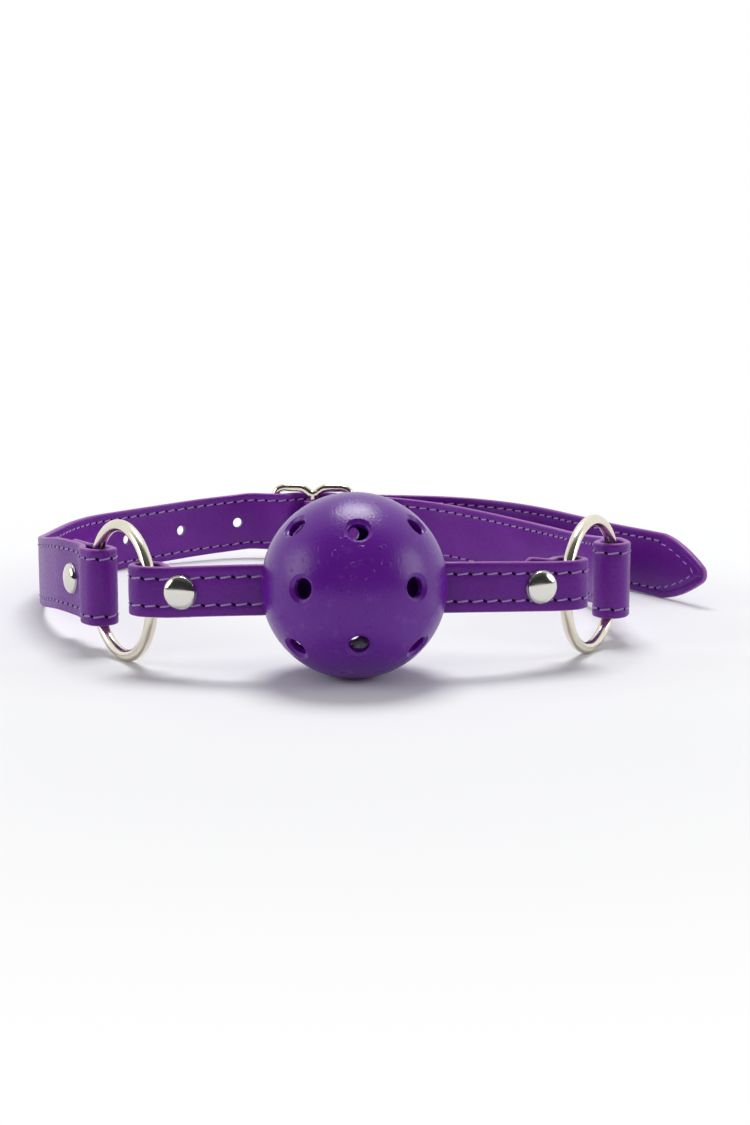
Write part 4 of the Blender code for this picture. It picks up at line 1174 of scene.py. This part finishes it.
def rivet_profile():
    foot, back = STACK / 2, -STACK / 2
    bottom = back - BACK_HEIGHT
    turns = [pi / 2 * k / DOME_STEPS for k in range(DOME_STEPS)]
    dome = [
        (CAP_RADIUS * sin(turn), foot + CAP_RIM + (CAP_HEIGHT - CAP_RIM) * cos(turn)) for turn in turns]
    rim = [
        (CAP_RADIUS + ROLL * sin(pi * k / ROLL_STEPS), foot + CAP_RIM * (0.9 - 0.8 * k / ROLL_STEPS))
        for k in range(ROLL_STEPS + 1)]
    post = [
        (CAP_RADIUS * 0.86, foot - SINK), (POST_RADIUS + FILLET_OUT, foot - SINK),
        (POST_RADIUS, foot - FILLET_DOWN), (POST_RADIUS, back + FILLET_DOWN),
        (POST_RADIUS + FILLET_OUT, back + SINK), (BACK_RADIUS * 0.85, back + SINK)]
    foot_ring = [
        (BACK_RADIUS - FOOT_ROUND * (1 - sin(pi / 2 * k / FOOT_STEPS)), back - FOOT_DROP * k)
        for k in range(FOOT_STEPS + 1)]
    dish = [
        (BACK_RADIUS * 0.8, bottom + 0.15 * MM), (BACK_RADIUS * 0.45, bottom),
        (BACK_RADIUS * 0.2, bottom + 0.18 * MM), (0.0, bottom + 0.22 * MM)]
    return dome + rim + post + foot_ring + dish


RIVET_SIDES = 56
rivet_pattern = linked("rivet_pattern", turned("rivet_pattern", rivet_profile(), RIVET_SIDES))
print("faces in a rivet:", len(rivet_pattern.data.polygons))

# %% [markdown]
# The tree that places them serves the vents too: it takes any pattern object and any finish.

# %% Tree: a pattern on points
def pattern_tree():
    tree, inside, outside = new_tree("pattern_on_points", (
        ("Pattern", "NodeSocketObject", None), ("Finish", "NodeSocketMaterial", None)))
    nodes, links = tree.nodes, tree.links
    source, place = nodes.new("GeometryNodeObjectInfo"), nodes.new("GeometryNodeInstanceOnPoints")
    real, paint = nodes.new("GeometryNodeRealizeInstances"), nodes.new("GeometryNodeSetMaterial")
    links.new(inside.outputs["Pattern"], source.inputs["Object"])
    links.new(inside.outputs["Geometry"], place.inputs["Points"])
    links.new(source.outputs["Geometry"], place.inputs["Instance"])
    links.new(turned_to_out(tree, False), place.inputs["Rotation"])
    links.new(place.outputs["Instances"], real.inputs["Geometry"])
    links.new(real.outputs["Geometry"], paint.inputs["Geometry"])
    links.new(inside.outputs["Finish"], paint.inputs["Material"])
    links.new(paint.outputs["Geometry"], outside.inputs["Geometry"])
    return tree


PATTERN_ON_POINTS = pattern_tree()
print("tree:", PATTERN_ON_POINTS.name)

# %% [markdown]
# A rivet stands where the distance from its fold's pocket reaches the set run. Its place is halfway
# between the two layers, and it points away from the flap.

# %% Rivet places
SEARCH_STEP = 0.1 * MM


def rivet_place(route, pocket, fold, distance, way, outwards):
    run = run_near(route, fold)
    while (point_at(route, run)[0].xy - pocket).length < distance:
        run += way * SEARCH_STEP
    place, heading = point_at(route, run)
    out = Vector((*(left_of(heading.xy.normalized()) * outwards), 0.0))
    return lift(place) - out * (STRAP_THICKNESS + LAYER_GAP) / 2, out


bar_fold = (BUCKLE_PLAN, buckle_point(-BAR_RADIUS / MM - 3.0, 0).xy)
front_places = [
    rivet_place(front_mid, *front_left_loop, FRONT_RIVET_RUN, 1, -1),
    rivet_place(front_mid, *front_right_loop, FRONT_RIVET_RUN, -1, -1)]
rear_places = [
    rivet_place(billet_mid, *rear_left_loop, REAR_RIVET_RUN, 1, 1),
    rivet_place(buckle_mid, *rear_right_loop, REAR_RIVET_RUN, 1, -1),
    rivet_place(buckle_mid, *bar_fold, BUCKLE_RIVET_RUN, -1, -1)]
front_rivets, rear_rivets = (
    grown(guide(name, [[place] for place in places]), PATTERN_ON_POINTS, name,
          pattern=rivet_pattern, finish=RIVET_NICKEL)
    for name, places in (("front_rivets", front_places), ("rear_rivets", rear_places)))
bpy.data.objects.remove(rivet_pattern, do_unlink=True)
print("rivets:", len(front_places) + len(rear_places))

# %% [markdown]
# ## O-rings
# Each ring is bent from wire and butt-welded, then ground and plated. The weld leaves the wire a hair
# thicker at one place, hidden in the front strap's fold. A swept wire gives this with its point radii.

# %% Rings
RING_STEPS = 180
WELD_GROWTH, WELD_HALF_ANGLE = 0.035, 0.07


def o_ring(name, plan, turn, weld_angle):
    radial = Vector((*unit(turn), 0.0))
    middle = lift(Vector((*plan, RING_HEIGHT)))
    points, radii = [], []
    for k in range(RING_STEPS):
        angle = tau * k / RING_STEPS
        rise = Vector((0, 0, RING_RADIUS * sin(angle)))
        points.append(middle + radial * (RING_RADIUS * cos(angle)) + rise)
        away = (angle - weld_angle + pi) % tau - pi
        radii.append(1 + WELD_GROWTH * max(0.0, 1 - (away / WELD_HALF_ANGLE) ** 2))
    made = wire(name, points, RING_WIRE, closed=True, radii=radii, fineness=8)
    dress(made, RING_NICKEL)
    return made


left_ring = o_ring("left_ring", LEFT_RING_PLAN, LEFT_RING_TURN, pi + 0.1)
right_ring = o_ring("right_ring", RIGHT_RING_PLAN, RIGHT_RING_TURN, pi - 0.12)
print("ring faces:", len(left_ring.data.polygons))

# %% [markdown]
# ## The ball
# Two moulded half shells meet at a fine seam. Each half is turned from its profile: the outer wall, a
# small break at the seam, the flat joint and the inner wall. Turning keeps the faces even and the seam
# crisp, which a sphere cut by a plane would not.

# %% Half shell
SEAM_HALF_GAP, SEAM_BREAK, SEAM_EASE = 0.06 * MM, 0.14 * MM, 0.04 * MM
HALF_STEPS, WALL_STEPS, INNER_STEPS = 192, 72, 36


def arc(radius, end, steps):
    """Points of a circle about the origin, from straight up to an angle from there."""
    return [(radius * sin(end * k / steps), radius * cos(end * k / steps)) for k in range(steps + 1)]


def half_profile():
    inner = BALL_RADIUS - BALL_WALL
    outer_edge = acos((SEAM_HALF_GAP + SEAM_BREAK) / BALL_RADIUS)
    inner_edge = acos(SEAM_HALF_GAP / inner)
    seam = [
        (BALL_RADIUS - SEAM_EASE, SEAM_HALF_GAP + SEAM_BREAK * 0.4),
        (BALL_RADIUS - SEAM_BREAK, SEAM_HALF_GAP)]
    outer = arc(BALL_RADIUS, outer_edge, WALL_STEPS)
    return outer + seam + arc(inner, inner_edge, INNER_STEPS)[::-1]


print("profile points:", len(half_profile()))

# %% [markdown]
# A vent is bored straight towards the middle, and a shallow countersink rings its mouth. The cutter for
# it is turned too. Its rows give a radius and how deep below the ball's surface the cut lies there, so
# that the rounded corner at the bore and the crisp outer ring keep their shape on a ball of any size.

# %% Vent cutter
COUNTERSINK = (     # past the bore and below the surface, in millimetres
    (0.0, 0.78), (0.12, 0.6), (0.36, 0.44), (0.88, 0.16), (1.0, 0.07), (1.08, -0.08), (1.14, -0.4))
CUT_BELOW, CUT_ABOVE, VENT_SIDES = 4 * MM, 1.5 * MM, 56


def vent_profile():
    bottom, top = BALL_RADIUS - CUT_BELOW, BALL_RADIUS + CUT_ABOVE
    rows = [(0.0, bottom), (VENT_RADIUS, bottom)]
    for wider, depth in COUNTERSINK:
        radius = VENT_RADIUS + wider * MM
        rows.append((radius, sqrt(BALL_RADIUS ** 2 - radius ** 2) - depth * MM))
    return rows + [(rows[-1][0], top), (0.0, top)]


vent_pattern = linked("vent_pattern", turned("vent_pattern", vent_profile(), VENT_SIDES))
print("vent mouth radius:", round(VENT_RADIUS / MM + COUNTERSINK[-3][0], 2), "mm")

# %% [markdown]
# The ball's own axes are turned a little from the frame's, and everything on it follows them.

# %% Cut the halves
SLOT_ROUND = 1.4 * MM
SLOT_BESIDE, SLOT_OVER = 1.4 * MM, 1.1 * MM     # the room left beside the strap and over its edges
BALL_SHARP = radians(32.0)
BALL_FRAME = (
    Matrix.Translation(lift(Vector((0, 0, BALL_RADIUS)))) @ Matrix.Rotation(BALL_YAW, 4, "Z")
    @ Matrix.Rotation(BALL_TILT, 4, "X"))


def strap_slot():
    """The rounded slot that the strap passes through, along the ball's own X."""
    shape = bmesh.new()
    bmesh.ops.create_cube(shape, size=1.0)
    size = (3 * BALL_RADIUS, STRAP_THICKNESS + 2 * SLOT_BESIDE, FRONT_WIDTH + 2 * SLOT_OVER)
    bmesh.ops.scale(shape, vec=size, verts=shape.verts)
    lengthwise = [
        edge for edge in shape.edges if abs((edge.verts[0].co - edge.verts[1].co).x) > BALL_RADIUS]
    bmesh.ops.bevel(
        shape, geom=lengthwise, offset=SLOT_ROUND, segments=6, profile=0.5, affect="EDGES")
    made = linked("strap_slot", as_mesh(shape, "strap_slot"))
    made.matrix_world = BALL_FRAME
    return made


def half_ball(name, pole):
    half = linked(name, turned(name, half_profile(), HALF_STEPS))
    half.matrix_world = BALL_FRAME @ Matrix.Rotation(-pole * pi / 2, 4, "X")
    origin = half.matrix_world.translation
    places = []
    for lean, start in VENT_LEANS:
        for i in range(VENTS_PER_RING):
            turn = Matrix.Rotation(start + tau * i / VENTS_PER_RING, 4, "Z") @ Matrix.Rotation(lean, 4, "Y")
            places.append((origin, (half.matrix_world @ turn).to_3x3() @ Vector((0, 0, 1))))
    vents = grown(guide("vents", [[place] for place in places]), PATTERN_ON_POINTS, "vents",
                  pattern=vent_pattern, finish=BALL_PLASTIC)
    made = carved(half, name, (vents, strap_slot()), BALL_SHARP)
    dress(made, BALL_PLASTIC)
    return made


ball_front, ball_rear = half_ball("ball_front", -1), half_ball("ball_rear", 1)
bpy.data.objects.remove(vent_pattern, do_unlink=True)
print("ball faces:", len(ball_front.data.polygons), len(ball_rear.data.polygons))

# %% [markdown]
# ## The buckle
# The frame is one loop of heavy wire, pinched at the middle of each long side, where the centre bar is
# pressed in. The loop's corners come from a smooth closed curve through a mirrored quarter.

# %% Buckle frame
def frame_outline():
    long_half, high_half = FRAME_LENGTH / 2 - FRAME_WIRE, FRAME_HEIGHT / 2 - FRAME_WIRE
    corner = FRAME_CORNER * (1 - sqrt(0.5))
    quarter = [
        (0.0, high_half - WAIST_DEPTH), (0.26 * WAIST_HALF_LENGTH, high_half - 0.88 * WAIST_DEPTH),
        (0.58 * WAIST_HALF_LENGTH, high_half - 0.48 * WAIST_DEPTH),
        (WAIST_HALF_LENGTH, high_half - 0.1 * WAIST_DEPTH), (1.6 * WAIST_HALF_LENGTH, high_half),
        (long_half - FRAME_CORNER, high_half), (long_half - corner, high_half - corner),
        (long_half, high_half - FRAME_CORNER), (long_half, 0.0)]
    top = quarter + [(s, -z) for s, z in quarter[-2::-1]]
    whole = top + [(-s, z) for s, z in top[-2:0:-1]]
    points = smooth_route(
        [lift(buckle_point(s / MM, 0, BUCKLE_HEIGHT + z)) for s, z in whole], closed=True, samples=8)
    for point in points:
        point.z = max(BUCKLE_HEIGHT - high_half, min(BUCKLE_HEIGHT + high_half, point.z))
    return points


BAR_HALF = FRAME_HEIGHT / 2 - FRAME_WIRE - WAIST_DEPTH
buckle_loop = wire("buckle_loop", frame_outline(), FRAME_WIRE, closed=True, fineness=7)
bar_ends = [buckle_point(0, 0, BUCKLE_HEIGHT + BAR_HALF * share) for share in (-1, -0.94, 0.94, 1)]
buckle_bar = wire(
    "buckle_bar", [lift(point) for point in bar_ends], BAR_RADIUS, radii=[1.12, 1.0, 1.0, 1.12], fineness=7)
for piece in (buckle_loop, buckle_bar):
    dress(piece, RING_NICKEL)
print("buckle loop faces:", len(buckle_loop.data.polygons))

# %% [markdown]
# The prong is a thinner wire. One end is rolled into an eye on the bar, and the shaft tapers to a blunt
# tip that rests on the frame.

# %% Prong
EYE_STEPS = 48
NOSE_LENGTH, NOSE_SHARE = 0.25 * MM, 0.6     # the rounded last bit of the tip, and how thin it ends


def prong():
    shaft_line = smooth_route([lift(point) for point in prong_line()], samples=10)
    count = len(shaft_line) - 1
    taper = [1 + (PRONG_TIP_RADIUS / PRONG_RADIUS - 1) * (k / count) ** 2 for k in range(count + 1)]
    shaft_line.append(shaft_line[-1] + (shaft_line[-1] - shaft_line[-2]).normalized() * NOSE_LENGTH)
    taper.append(taper[-1] * NOSE_SHARE)
    shaft = wire("prong_shaft", shaft_line, PRONG_RADIUS, radii=taper, fineness=6)
    reach = BAR_RADIUS + BAR_CLEARANCE + PRONG_RADIUS
    turns = [tau * k / EYE_STEPS for k in range(EYE_STEPS)]
    eye_line = [lift(buckle_point(reach / MM * cos(turn), reach / MM * sin(turn))) for turn in turns]
    eye = wire("prong_eye", eye_line, PRONG_RADIUS, closed=True, fineness=6)
    made = carved(shaft, "buckle_prong", (eye,), WIRE_SHARP, "UNION")
    dress(made, RING_NICKEL)
    return made


pin = prong()
print("prong faces:", len(pin.data.polygons))

# %% [markdown]
# ## Hang the pieces
# Every piece rides on the body that carries it, stands for its plain model nodes, and names the slot its
# finish comes from. The stitches, holes and rivets are pressed into the straps, so they ride with them.

# %% Bodies, nodes and slots
HANGING = (
    (front_band, "front_strap", "strap_face", ("front_strap_face", "front_strap_lining")),
    (front_stitches, "front_strap", "strap_face", ()),
    (front_rivets, "front_strap", "rivet_nickel", (
        "front_rivet_left_cap", "front_rivet_left_post", "front_rivet_right_cap", "front_rivet_right_post")),
    (billet_band, "rear_strap", "strap_face", ("billet_strap_face", "billet_strap_lining")),
    (buckle_band, "rear_strap", "strap_face", ("buckle_strap_face", "buckle_strap_lining")),
    (rear_stitches, "rear_strap", "strap_face", ()),
    (rear_rivets, "rear_strap", "rivet_nickel", (
        "rear_rivet_left_cap", "rear_rivet_left_post", "rear_rivet_right_cap", "rear_rivet_right_post",
        "buckle_rivet_cap", "buckle_rivet_post")),
    (buckle_loop, "rear_strap", "nickel", ("buckle_frame",)),
    (buckle_bar, "rear_strap", "nickel", ()),
    (left_ring, "left_ring", "nickel", ("ring_left",)),
    (right_ring, "right_ring", "nickel", ("ring_right",)),
    (ball_front, "ball", "ball_plastic", ("ball_front_half",)),
    (ball_rear, "ball", "ball_plastic", ("ball_rear_half",)),
    (pin, "prong", "nickel", ("buckle_prong",)))
for piece, body, slot, nodes in HANGING:
    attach(piece, body)
    if nodes:
        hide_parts(*nodes)
print("pieces:", len(HANGING))

# %% [markdown]
# ## Setting
# The object stands on a pale table that runs into a white background with no edge. Near the object the
# table is an ordinary pale surface that takes its shadow. Further out the camera sees it as plain white.

# %% Floor
FLOOR_FADE = (0.12, 0.31)     # where the fade to white starts and ends, in metres from the origin
TABLE_HALF_SIDE = 6.0


def clear_white(nodes, links, fade):
    """White emission where the camera, or metal and glass, look at the far part of the table."""
    path = nodes.new("ShaderNodeLightPath")
    looked = path.outputs["Is Camera Ray"]
    for kind in ("Is Glossy Ray", "Is Transmission Ray"):
        looked = combined(nodes, links, "MAXIMUM", looked, path.outputs[kind])
    return combined(nodes, links, "MULTIPLY", looked, fade)


def floor_finish():
    material = bpy.data.materials.new("pale_table")
    material.use_nodes = True
    nodes, links = material.node_tree.nodes, material.node_tree.links
    shader = nodes["Principled BSDF"]
    place, grain = nodes.new("ShaderNodeTexCoord"), nodes.new("ShaderNodeTexNoise")
    grain.inputs["Scale"].default_value = 12.0
    links.new(place.outputs["Object"], grain.inputs["Vector"])
    colour = blend_colour(nodes, links, grain.outputs["Fac"], (0.865, 0.87, 0.89), (0.89, 0.895, 0.91))
    links.new(colour, shader.inputs["Base Color"])
    shader.inputs["Roughness"].default_value = 0.85
    shader.inputs["Specular IOR Level"].default_value = 0.15
    distance = nodes.new("ShaderNodeVectorMath")
    distance.operation = "LENGTH"
    links.new(place.outputs["Object"], distance.inputs[0])
    fade = nodes.new("ShaderNodeMapRange")
    fade.interpolation_type = "SMOOTHSTEP"
    fade.inputs["From Min"].default_value, fade.inputs["From Max"].default_value = FLOOR_FADE
    links.new(distance.outputs["Value"], fade.inputs["Value"])
    white, blend = nodes.new("ShaderNodeEmission"), nodes.new("ShaderNodeMixShader")
    links.new(clear_white(nodes, links, fade.outputs["Result"]), blend.inputs["Fac"])
    links.new(shader.outputs["BSDF"], blend.inputs[1])
    links.new(white.outputs["Emission"], blend.inputs[2])
    links.new(blend.outputs["Shader"], nodes["Material Output"].inputs["Surface"])
    return material


def floor():
    shape = bmesh.new()
    bmesh.ops.create_grid(shape, x_segments=1, y_segments=1, size=TABLE_HALF_SIDE)
    made = linked("table", as_mesh(shape, "table"))
    dress(made, floor_finish())
    return made


table = floor()
table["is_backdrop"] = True
print("table half side:", TABLE_HALF_SIDE, "m")

# %% [markdown]
# The world is plain white to the camera. As a light it is dim and even. As a reflection it is white
# behind the object, a little lighter straight above, and dim on the camera's side, as a studio is. That
# contrast is what makes polished metal look like metal.

# %% World
WORLD_LIGHT, ROOM_REFLECTION = 0.35, 0.035


def world():
    made = bpy.data.worlds.new("studio")
    made.use_nodes = True
    nodes, links = made.node_tree.nodes, made.node_tree.links
    back = nodes["Background"]
    path, place, split = (
        nodes.new("ShaderNodeLightPath"), nodes.new("ShaderNodeTexCoord"), nodes.new("ShaderNodeSeparateXYZ"))
    links.new(place.outputs["Generated"], split.inputs["Vector"])
    behind = ranged(nodes, links, split.outputs["Y"], ROOM_REFLECTION, 1.0, -0.35, 0.2)
    above = ranged(nodes, links, split.outputs["Z"], ROOM_REFLECTION, 0.14, 0.5, 0.95)
    reflected = combined(nodes, links, "MAXIMUM", behind, above)
    lit_or_reflected = nodes.new("ShaderNodeMix")
    links.new(path.outputs["Is Glossy Ray"], lit_or_reflected.inputs["Factor"])
    lit_or_reflected.inputs[2].default_value = WORLD_LIGHT
    links.new(reflected, lit_or_reflected.inputs[3])
    strength = lit_or_reflected.outputs[0]
    for kind in ("Is Transmission Ray", "Is Camera Ray"):
        white = nodes.new("ShaderNodeMix")
        links.new(path.outputs[kind], white.inputs["Factor"])
        links.new(strength, white.inputs[2])
        white.inputs[3].default_value = 1.0
        strength = white.outputs[0]
    links.new(strength, back.inputs["Strength"])
    back.inputs["Color"].default_value = (1.0, 1.0, 1.0, 1.0)
    scene.world = made


world()
print("world light:", WORLD_LIGHT)

# %% [markdown]
# A broad soft lamp above and a little behind puts the wide highlight on the ball's top. Two more stand
# far out to the sides, so that their reflections lie near the ball's edges and leave its middle deep in
# colour.

# %% Lamps
def lamp(name, place, aim, size, power):
    data = bpy.data.lights.new(name, "AREA")
    data.shape, data.size, data.energy = "DISK", size, power
    made = bpy.data.objects.new(name, data)
    scene.collection.objects.link(made)
    made.location = place
    made.rotation_euler = (Vector(aim) - Vector(place)).to_track_quat("-Z", "Y").to_euler()
    return made


AIM = (0.0, -0.06, 0.02)
lamp("overhead", (0.02, 0.2, 0.8), AIM, size=0.42, power=4.6)
for name, place in (("left", (-1.1, -0.3, 0.45)), ("right", (1.15, -0.25, 0.45))):
    lamp(name, place, AIM, size=0.7, power=3.9)
print("lamps:", len(bpy.data.lights))

# %% [markdown]
# The camera looks slightly down at the front of the ball, close enough for some perspective.

# %% Camera
LENS, SENSOR_WIDTH, CLIP_START = 53.25, 36.0, 0.01
CAMERA_PLACE, CAMERA_TILT = (0.00115, -0.4829, 0.089), radians(81.23)


def camera():
    data = bpy.data.cameras.new("camera")
    data.lens, data.sensor_width = LENS, SENSOR_WIDTH
    data.clip_start = CLIP_START
    made = bpy.data.objects.new("camera", data)
    scene.collection.objects.link(made)
    made.location = CAMERA_PLACE
    made.rotation_euler = (CAMERA_TILT, 0.0, 0.0)
    scene.camera = made


camera()
print("lens:", scene.camera.data.lens, "mm")

# %% Sizes and finish
final_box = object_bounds()
for axis, low_change, high_change in zip("xyz", final_box[0] - cad_box[0], final_box[1] - cad_box[1]):
    print(axis, "box grows by", round(-low_change / MM, 2), "and", round(high_change / MM, 2), "mm")
